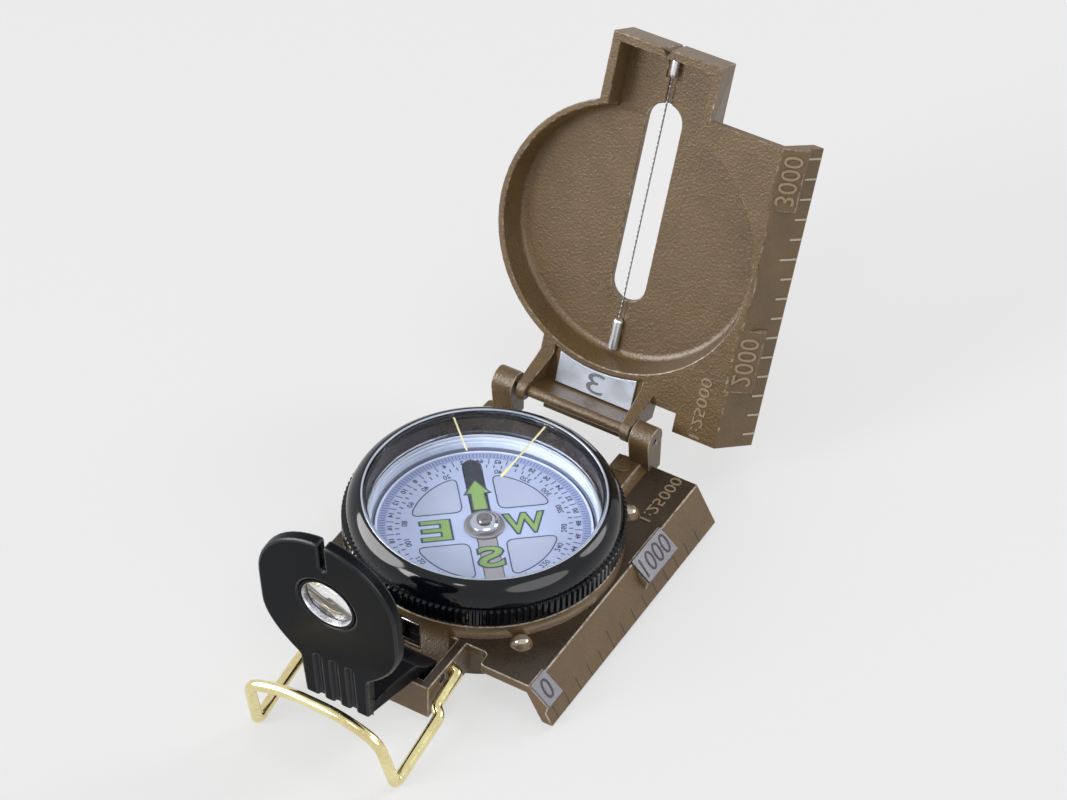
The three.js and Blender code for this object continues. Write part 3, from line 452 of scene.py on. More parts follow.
def finish(name):
    """The material of that name, made when it is first used."""
    made = bpy.data.materials.get(name)
    if made is None:
        if name in PAINTED:
            made = painted(name, PAINTED[name])
        elif name in GLASS:
            made = glass(name, GLASS[name])
        elif name in GRAINED:
            made = grained(name, *GRAINED[name])
        else:
            made = smooth(name, *SMOOTH[name])
    return made


# Shapes, in millimetres until they become an object

# Share of a side that a rounded corner may take, and of a line's width that its ends round off
CORNER_SHARE, LINE_SHARE = 0.45, 0.4

# Rounding at the ends of a wire: shares of its radius, and how far they reach
END_SHARES, END_REACH = (0.5, 0.85), 0.5


def polar(radius, angle):
    return radius * math.cos(angle), radius * math.sin(angle)


def spin(degrees):
    return Matrix.Rotation(math.radians(degrees), 4, "Z")


def placed(shape, place):
    """A shape moved by a matrix, with its faces kept outward."""
    shape.transform(place)
    if place.determinant() < 0:
        bmesh.ops.reverse_faces(shape, faces=shape.faces)
    return shape


def outward(shape):
    """A closed shape with all its faces turned outward."""
    bmesh.ops.recalc_face_normals(shape, faces=shape.faces)
    return shape


def mesh_of(name, shape):
    """A mesh with the geometry of a shape, which is freed."""
    mesh = bpy.data.meshes.new(name)
    shape.to_mesh(mesh)
    shape.free()
    return mesh


def final_shape(piece):
    """The shape that an object has after its modifiers."""
    graph = bpy.context.evaluated_depsgraph_get()
    mesh = bpy.data.meshes.new_from_object(piece.evaluated_get(graph))
    shape = bmesh.new()
    shape.from_mesh(mesh)
    bpy.data.meshes.remove(mesh)
    return shape


def merged(shapes):
    """Several shapes as one."""
    whole = bmesh.new()
    for shape in shapes:
        mesh = mesh_of("part_of_piece", shape)
        whole.from_mesh(mesh)
        bpy.data.meshes.remove(mesh)
    return whole


def solid_of(node_name):
    """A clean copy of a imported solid's mesh, in millimetres, with its flat faces whole."""
    shape = bmesh.new()
    shape.from_mesh(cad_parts[node_name].data)
    shape.transform(Matrix.Scale(1 / MM, 4))
    bmesh.ops.remove_doubles(shape, verts=shape.verts, dist=WELD)
    bmesh.ops.dissolve_degenerate(shape, edges=shape.edges, dist=WELD)
    bmesh.ops.dissolve_limit(
        shape, angle_limit=FLAT_ANGLE, verts=shape.verts, edges=shape.edges,
        use_dissolve_boundaries=False,
    )
    for face in shape.faces:
        face.material_index = 0
    return outward(shape)


def bend(start, corner, end, steps):
    """Points of a smooth bend from one point to another round a corner."""
    shares = [k / steps for k in range(steps + 1)]
    axes = list(zip(start, corner, end))
    return [
        tuple(a * (1 - t) ** 2 + b * 2 * t * (1 - t) + c * t**2 for a, b, c in axes) for t in shares
    ]


def softened(profile, radius, steps=3, closed=True):
    """A profile with its corners rounded. An open one keeps its two ends."""
    result = []
    count = len(profile)
    for i, point in enumerate(profile):
        if not closed and i in (0, count - 1):
            result.append(point)
            continue
        here = Vector(point)
        before = Vector(profile[i - 1]) - here
        after = Vector(profile[(i + 1) % count]) - here
        reach = min(radius, before.length * CORNER_SHARE, after.length * CORNER_SHARE)
        start, end = here + before.normalized() * reach, here + after.normalized() * reach
        result += bend(start, here, end, steps)
    return result


def skin(shape, rings, closed=False):
    """Joins rings of vertices with faces, and the last ring to the first if closed."""
    for low, high in zip(rings, rings[1:] + rings[:1] if closed else rings[1:]):
        for i in range(len(low)):
            k = (i + 1) % len(low)
            corners = list(dict.fromkeys([low[i], low[k], high[k], high[i]]))
            if len(corners) > 2:
                shape.faces.new(corners)


def lathe(profile, sides):
    """A profile of (radius, height) points turned about Z, closed or with its ends on the axis."""
    shape = bmesh.new()
    rings = []
    for radius, height in profile:
        if radius < TINY:
            rings.append([shape.verts.new((0, 0, height))] * sides)
        else:
            angles = [FULL_TURN * i / sides for i in range(sides)]
            rings.append([shape.verts.new((*polar(radius, angle), height)) for angle in angles])
    skin(shape, rings, closed=profile[0][0] > TINY)
    return outward(shape)


def slab(outline, low, high):
    """An outline of (x, y) points as a flat closed slab."""
    shape = bmesh.new()
    bottom, top = ([shape.verts.new((x, y, z)) for x, y in outline] for z in (low, high))
    shape.faces.new(bottom[::-1])
    shape.faces.new(top)
    skin(shape, [bottom, top])
    return outward(shape)


def bar(length, width, low, high):
    """A printed or raised line from the origin along +Y, with rounded ends."""
    half = width / 2
    corners = [(-half, 0), (half, 0), (half, length), (-half, length)]
    return slab(softened(corners, width * LINE_SHARE, 2), low, high)


def ribbon(outline, width, low, high):
    """A closed band along an outline, as wide as a pen's line."""
    shape = bmesh.new()
    rings = []
    for offset, z in ((-0.5, high), (0.5, high), (0.5, low), (-0.5, low)):
        ring = []
        for i, (x, y) in enumerate(outline):
            before, after = Vector(outline[i - 1]), Vector(outline[(i + 1) % len(outline)])
            along = (after - before).normalized() * width * offset
            ring.append(shape.verts.new((x + along.y, y - along.x, z)))
        rings.append(ring)
    skin(shape, rings, closed=True)
    return outward(shape)


def tube(path, radius, sides):
    """A round wire along a path, with rounded ends."""
    shape = bmesh.new()
    points = [Vector(point) for point in path]
    last = len(points) - 1
    tangents = [
        (points[min(i + 1, last)] - points[max(i - 1, 0)]).normalized() for i in range(last + 1)
    ]
    shares = {0: (*END_SHARES, 1), last: (1, *reversed(END_SHARES))}
    across = tangents[0].orthogonal().normalized()
    rings = []
    for i, (point, along) in enumerate(zip(points, tangents)):
        if i:
            across = tangents[i - 1].rotation_difference(along) @ across
        other = along.cross(across)
        out = along if i else -along
        for share in shares.get(i, (1,)):
            middle = point + out * radius * END_REACH * (1 - share)
            spots = [polar(share * radius, FULL_TURN * k / sides) for k in range(sides)]
            rings.append([shape.verts.new(middle + across * x + other * y) for x, y in spots])
    skin(shape, rings)
    shape.faces.new(rings[0][::-1])
    shape.faces.new(rings[-1])
    return outward(shape)


def raw_figures(words, weight, slant):
    """Figures as the font draws them, and the corners of the space they take."""
    text = bpy.data.curves.new("figures", "FONT")
    text.body = words
    text.offset = weight
    text.shear = slant
    text.resolution_u = 4
    text.extrude = 0.05
    made = add_object("figures", text)
    bpy.context.view_layer.update()
    shape = final_shape(made)
    bpy.data.objects.remove(made)
    bpy.data.curves.remove(text)
    bmesh.ops.remove_doubles(shape, verts=shape.verts, dist=FIGURE_WELD)
    low = Vector([min(v.co[k] for v in shape.verts) for k in range(3)])
    high = Vector([max(v.co[k] for v in shape.verts) for k in range(3)])
    return shape, low, high


def figures(words, height, depth, width=None, weight=0.0, slant=0.0, outline=0.0):
    """Raised figures, centred, standing on Z = 0. An outline widens their strokes all round."""
    shape, low, high = raw_figures(words, weight, slant)
    span = high - low
    tall = height / span.y
    wide = width / span.x if width else tall
    middle = (low + high) / 2
    middle.z = low.z
    if outline:
        shape.free()
        shape = raw_figures(words, weight + outline * 2 / (tall + wide), slant)[0]
    shape.transform(Matrix.Diagonal((wide, tall, depth / span.z, 1)) @ Matrix.Translation(-middle))
    return shape


def basis(origin, reading, up):
    """The matrix that sets a drawing down at a point, with its reading and upward directions."""
    reading, up = Vector(reading).normalized(), Vector(up).normalized()
    axes = Matrix((reading, up, reading.cross(up))).transposed()
    return Matrix.Translation(origin) @ axes.to_4x4()


def mirrored(origin, reading, up):
    """As basis, for a figure in mirror writing: its face stays on the outer side."""
    return basis(origin, reading, up) @ Matrix.Diagonal((1, 1, -1, 1))


# Pieces


def add_object(name, data):
    made = bpy.data.objects.new(name, data)
    bpy.context.scene.collection.objects.link(made)
    return made


def add_piece(name, shape, body, finishes, replaces=(), place=Matrix()):
    """A mesh object from a shape in millimetres, riding on a body of the compass."""
    placed(shape, Matrix.Scale(MM, 4) @ place)
    for face in shape.faces:
        face.smooth = True
    mesh = mesh_of(name, shape)
    mesh.set_sharp_from_angle(angle=SHARP_ANGLE)
    for item in finishes:
        mesh.materials.append(finish(item))
    made = add_object(name, mesh)
    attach(made, body)
    if replaces:
        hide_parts(*replaces)
    return made


def even_normals(piece):
    """Keeps the large flat faces of a piece flat in the light."""
    even = piece.modifiers.new("even_normals", "WEIGHTED_NORMAL")
    even.keep_sharp = True


def add_turned(pieces, body, place=Matrix()):
    """Turned pieces of one body. Each has a profile, the rounding of its corners in steps, sides,
    a slot, a finish and the nodes that it stands for."""
    for name, (profile, rounding, steps, sides, slot, look, replaces) in pieces.items():
        if rounding:
            profile = softened(profile, rounding, steps, closed=profile[0][0] > TINY)
        even_normals(add_piece(name, lathe(profile, sides), body, [look], replaces, place))


def folded_faces(shape):
    """Flat faces that fold over themselves when they are cut into triangles."""
    found = set()
    for loops in shape.calc_loop_triangles():
        first, second, third = (loop.vert.co for loop in loops)
        across = (second - first).cross(third - first)
        if across.length > TINY_AREA and across.dot(loops[0].face.normal) < 0:
            found.add(loops[0].face)
    return sorted(found, key=lambda face: face.index)


def flat_region(seed):
    """The faces of one finish that lie in one plane with a face and touch each other."""
    region, waiting = {seed}, [seed]
    while waiting:
        for edge in waiting.pop().edges:
            for face in edge.link_faces:
                alike = face.material_index == seed.material_index
                if alike and face.normal.dot(seed.normal) > LEVEL and face not in region:
                    region.add(face)
                    waiting.append(face)
    return region


def fill_anew(shape, seed):
    """Fills the flat region of a folded face again from its outline."""
    region = flat_region(seed)
    out, finish_number = seed.normal.copy(), seed.material_index
    edges = sorted({edge for face in region for edge in face.edges}, key=lambda edge: edge.index)
    outline = [edge for edge in edges if sum(face in region for face in edge.link_faces) == 1]
    inside = [edge for edge in edges if edge not in outline]
    for face in region:
        shape.faces.remove(face)
    for edge in inside:
        shape.edges.remove(edge)
    filled = bmesh.ops.triangle_fill(shape, edges=outline, use_beauty=True, normal=out)
    for face in (item for item in filled["geom"] if isinstance(item, bmesh.types.BMFace)):
        face.material_index = finish_number
        face.smooth = True
        face.normal_update()
        if face.normal.dot(out) < 0:
            face.normal_flip()


def round_edges(piece, width, steps=2, edge_finish=0, marked=False):
    """Rounds all or the marked edges of a piece, with their own finish where one is given."""
    edge = piece.modifiers.new("rounded_edges", "BEVEL")
    edge.width = width
    edge.segments = steps
    edge.limit_method = "WEIGHT" if marked else "ANGLE"
    edge.angle_limit = ROUNDED_ANGLE
    edge.use_clamp_overlap = False
    edge.miter_outer = "MITER_ARC"
    edge.material = edge_finish
    shape = final_shape(piece)
    piece.modifiers.clear()
    for seed in folded_faces(shape):
        if seed.is_valid:
            fill_anew(shape, seed)
    shape.to_mesh(piece.data)
    shape.free()
    even_normals(piece)


def add_solid(node_name, ending, body, slot, finishes, width, **edges):
    """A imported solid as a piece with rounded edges."""
    solid = solid_of(node_name)
    piece = add_piece(node_name + ending, solid, body, finishes, [node_name])
    round_edges(piece, width, **edges)


# The neck's bore, whose edges keep their paint: radius, middle and half of its height
BORE_RADIUS, BORE_MIDDLE, BORE_HALF = 23.2, 14, 5


def add_casting(node_name, shape, body, finishes):
    """A casting with rounded edges, whose outward ones have the second finish: a rubbed paint that
    is partly wear and partly a painted highlight.
    """
    layer = shape.edges.layers.float.new("bevel_weight_edge")
    for edge in shape.edges:
        middle = (edge.verts[0].co + edge.verts[1].co) / 2
        near_axis = math.hypot(middle.x, middle.y) < BORE_RADIUS
        in_bore = near_axis and abs(middle.z - BORE_MIDDLE) < BORE_HALF
        if edge.is_convex and not in_bore and edge.calc_face_angle(0.0) > ROUNDED_ANGLE:
            edge[layer] = 1.0
    piece = add_piece(node_name + "_cast", shape, body, finishes, [node_name])
    round_edges(piece, sizes().casting_edge, edge_finish=1, marked=True)


# Ruled edges: start, run and drop of the slope, pitch of the lines, how far they pass the tip
RULER_START, RULER_RUN, RULER_DROP = 26.5, 4.4, 7.6
TICK_PITCH, TICK_PAST = 4, 0.15
SLOPE = Vector((RULER_RUN, 0, -RULER_DROP)).normalized()
ALONG, ACROSS = (0, 1, 0), (1, 0, 0)

# Wedges that carry the numbers: slope and outward direction of their face, and its middle
WEDGE = Vector((4, 0, -3.3)).normalized()
WEDGE_OUT = Vector((3.3, 0, 4)).normalized()
WEDGE_REACH, WEDGE_DROP = 27.9, 1.65


def ruled_lines(top, start, count, longs, width, low, high):
    """Lines up a ruled edge from its tip. Those that are counted in longs are long."""
    short, long = sizes().short_tick / MM, sizes().long_tick / MM
    lines = []
    for i in range(count):
        tip = Vector((RULER_START + RULER_RUN, start + i * TICK_PITCH, top - RULER_DROP))
        line = bar(long if i in longs else short, width, low, high)
        lines.append(placed(line, basis(tip - SLOPE * TICK_PAST, ALONG, -SLOPE)))
    return merged(lines)


def wedge_spot(top, along, rise):
    """Sets a figure in mirror writing down on the face of a number wedge."""
    middle = Vector((WEDGE_REACH, along, top - WEDGE_DROP))
    return mirrored(middle + WEDGE_OUT * rise, ALONG, WEDGE)


UNDOABLE = {"REGISTER", "UNDO"}

# Rounding of the pivot and its jewel, and of the card
SMALL_EDGE, CARD_EDGE = 0.05, 0.06

# Case: reach, radius and rise of the bumps, radius and floor of the well inside the neck, whose
# paint is darker as painted shade
CASE_FINISHES = ["cast_paint", "rubbed_paint", "worn_bump", "well_paint"]
BUMP_REACH, BUMP_RADIUS, BUMP_RISE = 27.5, 1.3, 1
WELL_RADIUS, WELL_FLOOR = 22, 4.2
HINGE_PAD_SPOT = (12.5, 29.2, 0)
HINGE_PAD = {
    "hinge_pad": (
        [(0, 9.9), (1.8, 9.9), (1.8, 10.3), (0, 10.3)], 0.2, 3, 40, "brown_paint", "cast_paint", []
    ),
}


class COMPASS_OT_case(bpy.types.Operator):
    """Makes the painted base casting with its rounded edges."""

    bl_idname = "compass.case"
    bl_label = "Case"
    bl_options = UNDOABLE

    def execute(self, context):
        shape = solid_of("base_casting")
        for face in shape.faces:
            middle = face.calc_center_median()
            reach = math.hypot(middle.x, middle.y)
            # Bump tops get the pale colour, which is partly wear and partly a painted highlight
            if middle.z > PLATE_TOP + BUMP_RISE and abs(reach - BUMP_REACH) < BUMP_RADIUS:
                face.material_index = CASE_FINISHES.index("worn_bump")
            # Faces in the well get the darker paint: painted shade
            if reach < WELL_RADIUS and middle.z > WELL_FLOOR:
                face.material_index = CASE_FINISHES.index("well_paint")
        add_casting("base_casting", shape, "case", CASE_FINISHES)
        add_turned(HINGE_PAD, "case", Matrix.Translation(HINGE_PAD_SPOT))
        return {"FINISHED"}


# Rulers: place of the first line, count of lines, and which of them are long
CASE_LINES, LID_LINES = (-25.33, 14, (0, 5, 10)), (2.95, 15, (4, 9, 14))

# Map scales: their place on the base plate, and on the lid's face
MAP_SCALE = "1:25000"
CASE_SCALE_SPOT, LID_SCALE_SPOT = (22.8, 25.8, PLATE_TOP - 0.02), (22.1, 7.2, LID_FACE - 0.02)

# Number plates of the base: node, figures, place along the ruler, width of the figures
CASE_PLATES = (("scale_plate_0", "0", -25.4, 2.376), ("scale_plate_1000", "1000", 13.6, 9.4))


class COMPASS_OT_case_rulers(bpy.types.Operator):
    """Makes the number plates, ruler lines and figures of the base."""

    bl_idname = "compass.case_rulers"
    bl_label = "Case rulers"
    bl_options = UNDOABLE

    def execute(self, context):
        look = sizes()
        tall = look.plate_figure / MM
        for name, words, along, wide in CASE_PLATES:
            # The base's plates get the dull silver, a painted reflection
            add_solid(name, "_stamped", "case", "silver_plate", ["dull_silver"], look.sheet_edge)
            mark = figures(words, tall, depth=0.1, width=wide, weight=-0.008, slant=-0.2)
            spot = wedge_spot(PLATE_TOP, along, rise=0.58)
            add_piece("figure_" + words, mark, "case", ["figure_ink"], place=spot)
        width = look.tick_width / MM
        lines = ruled_lines(PLATE_TOP, *CASE_LINES, width, low=-0.04, high=0.03)
        add_piece("base_ruler_lines", lines, "case", ["scored_line"])
        # The map scale's paler paint is a painted highlight on its relief
        scale = figures(MAP_SCALE, look.scale_figure / MM, depth=0.22, width=13)
        spot = mirrored(CASE_SCALE_SPOT, ALONG, ACROSS)
        add_piece("base_map_scale", scale, "case", ["raised_paint"], place=spot)
        return {"FINISHED"}


# Height below which the click spring gets the dark pin finish, as painted shade inside its pocket
LEAF_SHADE_LINE = 7.7


class COMPASS_OT_small_steel(bpy.types.Operator):
    """Makes the hinge pins and the bezel's click spring."""

    bl_idname = "compass.small_steel"
    bl_label = "Small steel"
    bl_options = UNDOABLE

    def execute(self, context):
        edge = sizes().sheet_edge
        for name in ("lid_hinge_pin", "bracket_hinge_pin"):
            add_solid(name, "_finished", "case", "dark_steel", ["pin_metal"], edge)
        name = "bezel_click_spring"
        leaf = solid_of(name)
        parts = [*leaf.verts, *leaf.edges, *leaf.faces]
        bmesh.ops.bisect_plane(leaf, geom=parts, plane_co=(0, 0, LEAF_SHADE_LINE), plane_no=(0, 0, 1))
        # Faces below that height are painted dark: painted shade in the pocket
        for face in leaf.faces:
            if face.calc_center_median().z < LEAF_SHADE_LINE:
                face.material_index = 1
        looks = ["bright_metal", "pin_metal"]
        spring = add_piece(name + "_finished", leaf, "case", looks, [name])
        round_edges(spring, edge, edge_finish=-1)
        return {"FINISHED"}


CAPSULE_TURNED = {
    "capsule_cup_moulded": (
        [
            (0, 4.4), (21.3, 4.4), (21.3, 14.2), (20.75, 14.2), (20.6, 14), (20.6, 13.6),
            (20.75, 13.5), (20.75, 13.2), (20.6, 13.1), (20.6, 5.6), (0, 5.6),
        ],
        0.12, 3, 128, "white_plastic", "capsule_white", ["capsule_cup"],
    ),
    # Dark ring at the foot of the wall, as painted shade in the gap
    "capsule_trough_ring": (
        [(20.2, 10.7), (20.59, 10.7), (20.59, 12.0), (20.35, 12.0)],
        0.08, 3, 128, "white_plastic", "trough_grey", [],
    ),
    "capsule_seal_ring": (
        [(20.8, 14.3), (21.3, 14.3), (21.3, 14.7), (20.8, 14.7)],
        0.18, 3, 96, "seal_rubber", "pale_seal", ["capsule_seal"],
    ),
    "capsule_window_clear": (
        [(0, 14.8), (21.3, 14.8), (21.3, 15.8), (0, 15.8)],
        0.15, 3, 128, "clear", "clear_glass", ["capsule_window"],
    ),
}


class COMPASS_OT_capsule(bpy.types.Operator):
    """Makes the white capsule, its seal, window and pivot."""

    bl_idname = "compass.capsule"
    bl_label = "Capsule"
    bl_options = UNDOABLE

    def execute(self, context):
        add_turned(CAPSULE_TURNED, "case")
        add_solid("pivot_pin", "_turned", "case", "bright_steel", ["bright_metal"], SMALL_EDGE * MM)
        return {"FINISHED"}


# Panels of the dial card: sides by the bar and by the letters, outer radius and rounding, width of
# their outline, steps of their corners and of their arc
PANEL_NEAR, PANEL_LOW, PANEL_RADIUS, PANEL_BEND = 3.35, 4.1, 13.6, 1.6
PANEL_LINE, PANEL_STEPS, ARC_STEPS = 0.24, 6, 14
QUARTERS = [(side, end) for side in (1, -1) for end in (1, -1)]

# Rings of lines: angle between them in degrees, start, length and width
DIAL_RINGS = ((2, 18.2, 1.1, 0.1), (5, 15.45, 0.8, 0.22), (11.25, 16.55, 1.4, 0.17))
NUMBER_STEP, NUMBER_REACH = 20, 14.55
SMALL_COUNT, SMALL_STEP, SMALL_REACH = 32, 11.25, 17.25

# How far the print stands above the card
LINE_RISE, NUMBER_RISE, PANEL_RISE, OUTLINE_RISE, LETTER_RISE = 0.035, 0.03, 0.02, 0.05, 0.08

# Magnet: half of its width, where its round ends and its halves start, its thickness and rounding
MAGNET_HALF, MAGNET_REACH, MAGNET_GAP, MAGNET_DEPTH, MAGNET_EDGE = 1.7, 16, 0.6, 0.9, 0.08
END_STEPS = 12

# Rounding of the corners of drawn marks
MARK_ROUNDING = 0.12

# Letters with their width, height and place, and the arrow with its dark outline
LETTERS = (
    ("E", 5.3, 5.1, (-8.9, -0.1)), ("W", 7.2, 5.0, (7.5, -0.2)), ("S", 4.6, 5.2, (0, -8.1))
)
ARROW = [(0, 11.95), (2.1, 8.7), (1.1, 8.7), (1.25, 4.4), (-1.25, 4.4), (-1.1, 8.7), (-2.1, 8.7)]
ARROW_OUTLINE = [
    (0, 12.45), (2.7, 8.42), (1.38, 8.42), (1.53, 4.15), (-1.53, 4.15), (-1.38, 8.42), (-2.7, 8.42)
]

CARD_TURNED = {
    "dial_rim_bead": (
        [(19.55, 0), (19.95, 0), (19.95, 0.12), (19.55, 0.12)],
        0.05, 3, 128, "dial_print", "capsule_white", [],
    ),
    # A darker band near the card's rim, as painted shade
    "dial_band_printed": (
        [(17.95, 0), (19.5, 0), (19.5, 0.02), (17.95, 0.02)],
        0, 0, 128, "dial_print", "card_band", [],
    ),
}
CAP_TURNED = {
    "jewel_cap_flange": (
        [(0, 0.1), (3.7, 0.1), (3.7, 0.4), (3.5, 0.5), (0, 0.5)],
        0.1, 3, 64, "polished_cap", "cap_flange", ["jewel_cap"],
    ),
    "jewel_cap_turned": (
        [(0, 0.52), (2.7, 0.52), (2.9, 0.85), (2.75, 1.3), (2.2, 1.6), (0, 1.7)],
        0.25, 4, 64, "polished_cap", "chrome_cap", ["jewel_cap"],
    ),
    "jewel_cap_boss": (
        [
            (0, 1.72), (1.45, 1.72), (1.45, 2.05), (1.2, 2.3), (0.8, 2.3), (0.75, 2.15),
            (0.45, 2.15), (0.4, 2.4), (0, 2.45),
        ],
        0.06, 3, 48, "polished_cap", "cap_boss", ["jewel_cap"],
    ),
}


def panel(side, end):
    """Outline of one panel of the dial card, between the bar and the letters."""
    near, low, radius, reach = PANEL_NEAR, PANEL_LOW, PANEL_RADIUS, PANEL_BEND
    start, stop, trim = math.asin(low / radius), math.acos(near / radius), reach / radius
    span = stop - start - 2 * trim
    arc = [polar(radius, start + trim + span * i / ARC_STEPS) for i in range(ARC_STEPS + 1)]
    right, top = radius * math.cos(start), radius * math.sin(stop)
    outline = (
        bend((near, low + reach), (near, low), (near + reach, low), PANEL_STEPS)
        + bend((right - reach, low), (right, low), arc[0], PANEL_STEPS)
        + arc[1:-1]
        + bend(arc[-1], (near, top), (near, top - reach), PANEL_STEPS)
    )
    return [(x * side, y * end) for x, y in (outline if side * end > 0 else outline[::-1])]


def dial_lines():
    """Degree lines in three rings round the card."""
    lines = []
    for pitch, start, length, width in DIAL_RINGS:
        for i in range(round(360 / pitch)):
            line = bar(length, width, 0.0, LINE_RISE)
            lines.append(placed(line, spin(i * pitch) @ Matrix.Translation((0, start, 0))))
    return merged(lines)


def dial_numbers():
    """Degree numbers, and the smaller ones between the rings, in mirror writing."""
    tall, small = sizes().dial_figure / MM, sizes().mil_figure / MM
    numbers = [
        (angle, angle, tall, 0.012, NUMBER_REACH) for angle in range(0, 360, NUMBER_STEP)
    ] + [
        ((i + 0.5) * SMALL_STEP, 2 * i + 2, small, 0.03, SMALL_REACH) for i in range(SMALL_COUNT)
    ]
    marks = []
    for angle, number, height, weight, reach in numbers:
        mark = figures(str(number), height, NUMBER_RISE, weight=weight)
        marks.append(placed(mark, MIRROR @ spin(-angle) @ Matrix.Translation((0, reach, 0))))
    return merged(marks)


class COMPASS_OT_dial(bpy.types.Operator):
    """Makes the printed card with its magnet, letters, cap and jewel."""

    bl_idname = "compass.dial"
    bl_label = "Dial"
    bl_options = UNDOABLE

    def execute(self, context):
        add_solid("dial_card", "_disc", "dial", "dial_print", ["card_print"], CARD_EDGE * MM)
        add_turned(CARD_TURNED, "dial", DIAL)
        self.add_print()
        self.add_magnet()
        self.add_letters()
        add_turned(CAP_TURNED, "dial", DIAL)
        add_solid("jewel_bearing", "_ground", "dial", "jewel", ["ruby_jewel"], SMALL_EDGE * MM)
        return {"FINISHED"}

    def add_print(self):
        outlines = [ribbon(panel(*quarter), PANEL_LINE, 0.0, LINE_RISE) for quarter in QUARTERS]
        lines = merged([dial_lines(), dial_numbers(), *outlines])
        add_piece("dial_lines_printed", lines, "dial", ["dial_ink"], place=DIAL)
        panels = merged([slab(panel(*quarter), 0.0, PANEL_RISE) for quarter in QUARTERS])
        add_piece("dial_windows_printed", panels, "dial", ["card_window"], place=DIAL)

    def add_magnet(self):
        angles = [math.pi * i / END_STEPS for i in range(END_STEPS + 1)]
        half = [(-MAGNET_HALF, MAGNET_GAP), (MAGNET_HALF, MAGNET_GAP)]
        half += [(x, MAGNET_REACH + y) for x, y in (polar(MAGNET_HALF, a) for a in angles)]
        for name, turn in (("north", 1), ("south", -1)):
            shape = slab([(x * turn, y * turn) for x, y in half], -MAGNET_DEPTH, 0.0)
            half_bar = add_piece(
                "magnet_" + name, shape, "dial", [name + "_bar"], ["bar_magnet"], DIAL
            )
            round_edges(half_bar, MAGNET_EDGE * MM)

    def add_letters(self):
        wider = sizes().ink_outline / MM
        for letter, wide, tall, spot in LETTERS:
            place = DIAL @ Matrix.Translation((*spot, 0.0)) @ MIRROR
            for name, grow, rise, ink in (
                ("outline", wider, OUTLINE_RISE, "dial_ink"),
                ("letter", 0.0, LETTER_RISE, "letter_green"),
            ):
                mark = figures(letter, tall, rise, wide, weight=0.012, outline=grow)
                add_piece(f"dial_{name}_{letter}", mark, "dial", [ink], place=place)
        for name, points, rise, ink in (
            ("outline", ARROW_OUTLINE, OUTLINE_RISE, "dial_ink"),
            ("arrow", ARROW, LETTER_RISE, "letter_green"),
        ):
            mark = slab(softened(points, MARK_ROUNDING, 2), 0.0, rise)
            add_piece("dial_north_" + name, mark, "dial", [ink], place=DIAL)


# Bezel: wall up from the skirt, shoulder as the three points of a bend, rim and stepped bore
BEZEL_WALL = [(23.3, 3.3), (24.5, 3.3), (24.5, 6.95), (25.2, 7.0)]
BEZEL_SHOULDER = ((25.2, 7.2), (25.2, 10.15), (22.75, 11.45))
BEZEL_RIM = [
    (22.6, 11.45), (22.34, 11.45), (22.34, 11.2), (22.05, 11.2), (22.05, 10.3), (21.45, 10.3),
    (21.45, 9.85),
]
BEZEL_BORE = [(23.3, 9.85), (23.3, 8.5), (23.85, 8.5), (23.85, 7.3), (23.3, 7.3)]
BEZEL_PROFILE = (
    softened(BEZEL_WALL, 0.1, 2, closed=False)
    + bend(*BEZEL_SHOULDER, steps=14)
    + softened(BEZEL_RIM, 0.1, 3, closed=False)
    + BEZEL_BORE
)
BEZEL_TURNED = {
    "bezel_body": (BEZEL_PROFILE, 0, 0, 160, "bezel_black", "gloss_bezel", ["bezel_ring"]),
    # A pale ring on the rim's inner edge, as a painted highlight round the crystal
    "bezel_rim_line": (
        [(22.06, 11.22), (22.45, 11.22), (22.45, 11.5), (22.06, 11.46)],
        0.08, 3, 160, "bezel_black", "rim_sheen", ["bezel_ring"],
    ),
    "bezel_snap_ring_steel": (
        [(22.75, 7.6), (23.55, 7.6), (23.55, 8.2), (22.75, 8.2)],
        0.15, 3, 96, "bright_steel", "bright_metal", ["bezel_snap_ring"],
    ),
}

# Knurl: radius of its crests and back, its ends, and the rise of a tooth over its pitch
KNURL_CREST, KNURL_BACK, KNURL_LOW, KNURL_HIGH = 26.0, 24.6, 3.3, 6.9
KNURL_TOOTH = ((0.0, 0), (0.22, 1), (0.62, 1), (0.84, 0))


def knurl_band(teeth, depth):
    """The toothed band round the foot of the bezel, chamfered at both ends."""
    shape = bmesh.new()
    root = KNURL_CREST - depth
    rows = (
        (KNURL_LOW, root, 0.0), (3.55, root, depth), (6.6, root, depth),
        (KNURL_HIGH, root, 0.1 * depth), (KNURL_HIGH, KNURL_BACK, 0.0),
        (KNURL_LOW, KNURL_BACK, 0.0),
    )
    spots = [(FULL_TURN * (i + part) / teeth, up) for i in range(teeth) for part, up in KNURL_TOOTH]
    rings = [
        [shape.verts.new((*polar(radius + rise * up, angle), height)) for angle, up in spots]
        for height, radius, rise in rows
    ]
    skin(shape, rings, closed=True)
    return outward(shape)


class COMPASS_OT_bezel(bpy.types.Operator):
    """Makes the gloss bezel with its knurl and snap ring."""

    bl_idname = "compass.bezel"
    bl_label = "Bezel"
    bl_options = UNDOABLE

    def execute(self, context):
        add_turned(BEZEL_TURNED, "bezel", BEZEL)
        knurl = knurl_band(sizes().knurl_teeth, sizes().knurl_depth / MM)
        looks = ["gloss_bezel"]
        add_piece("bezel_knurl", knurl, "bezel", looks, ["bezel_ring"], BEZEL)
        return {"FINISHED"}


CRYSTAL_TURNED = {
    "crystal_disc": (
        [(0, 10.45), (21.9, 10.45), (21.9, 11.25), (0, 11.25)],
        0.2, 4, 160, "clear", "clear_glass", ["crystal"],
    ),
}

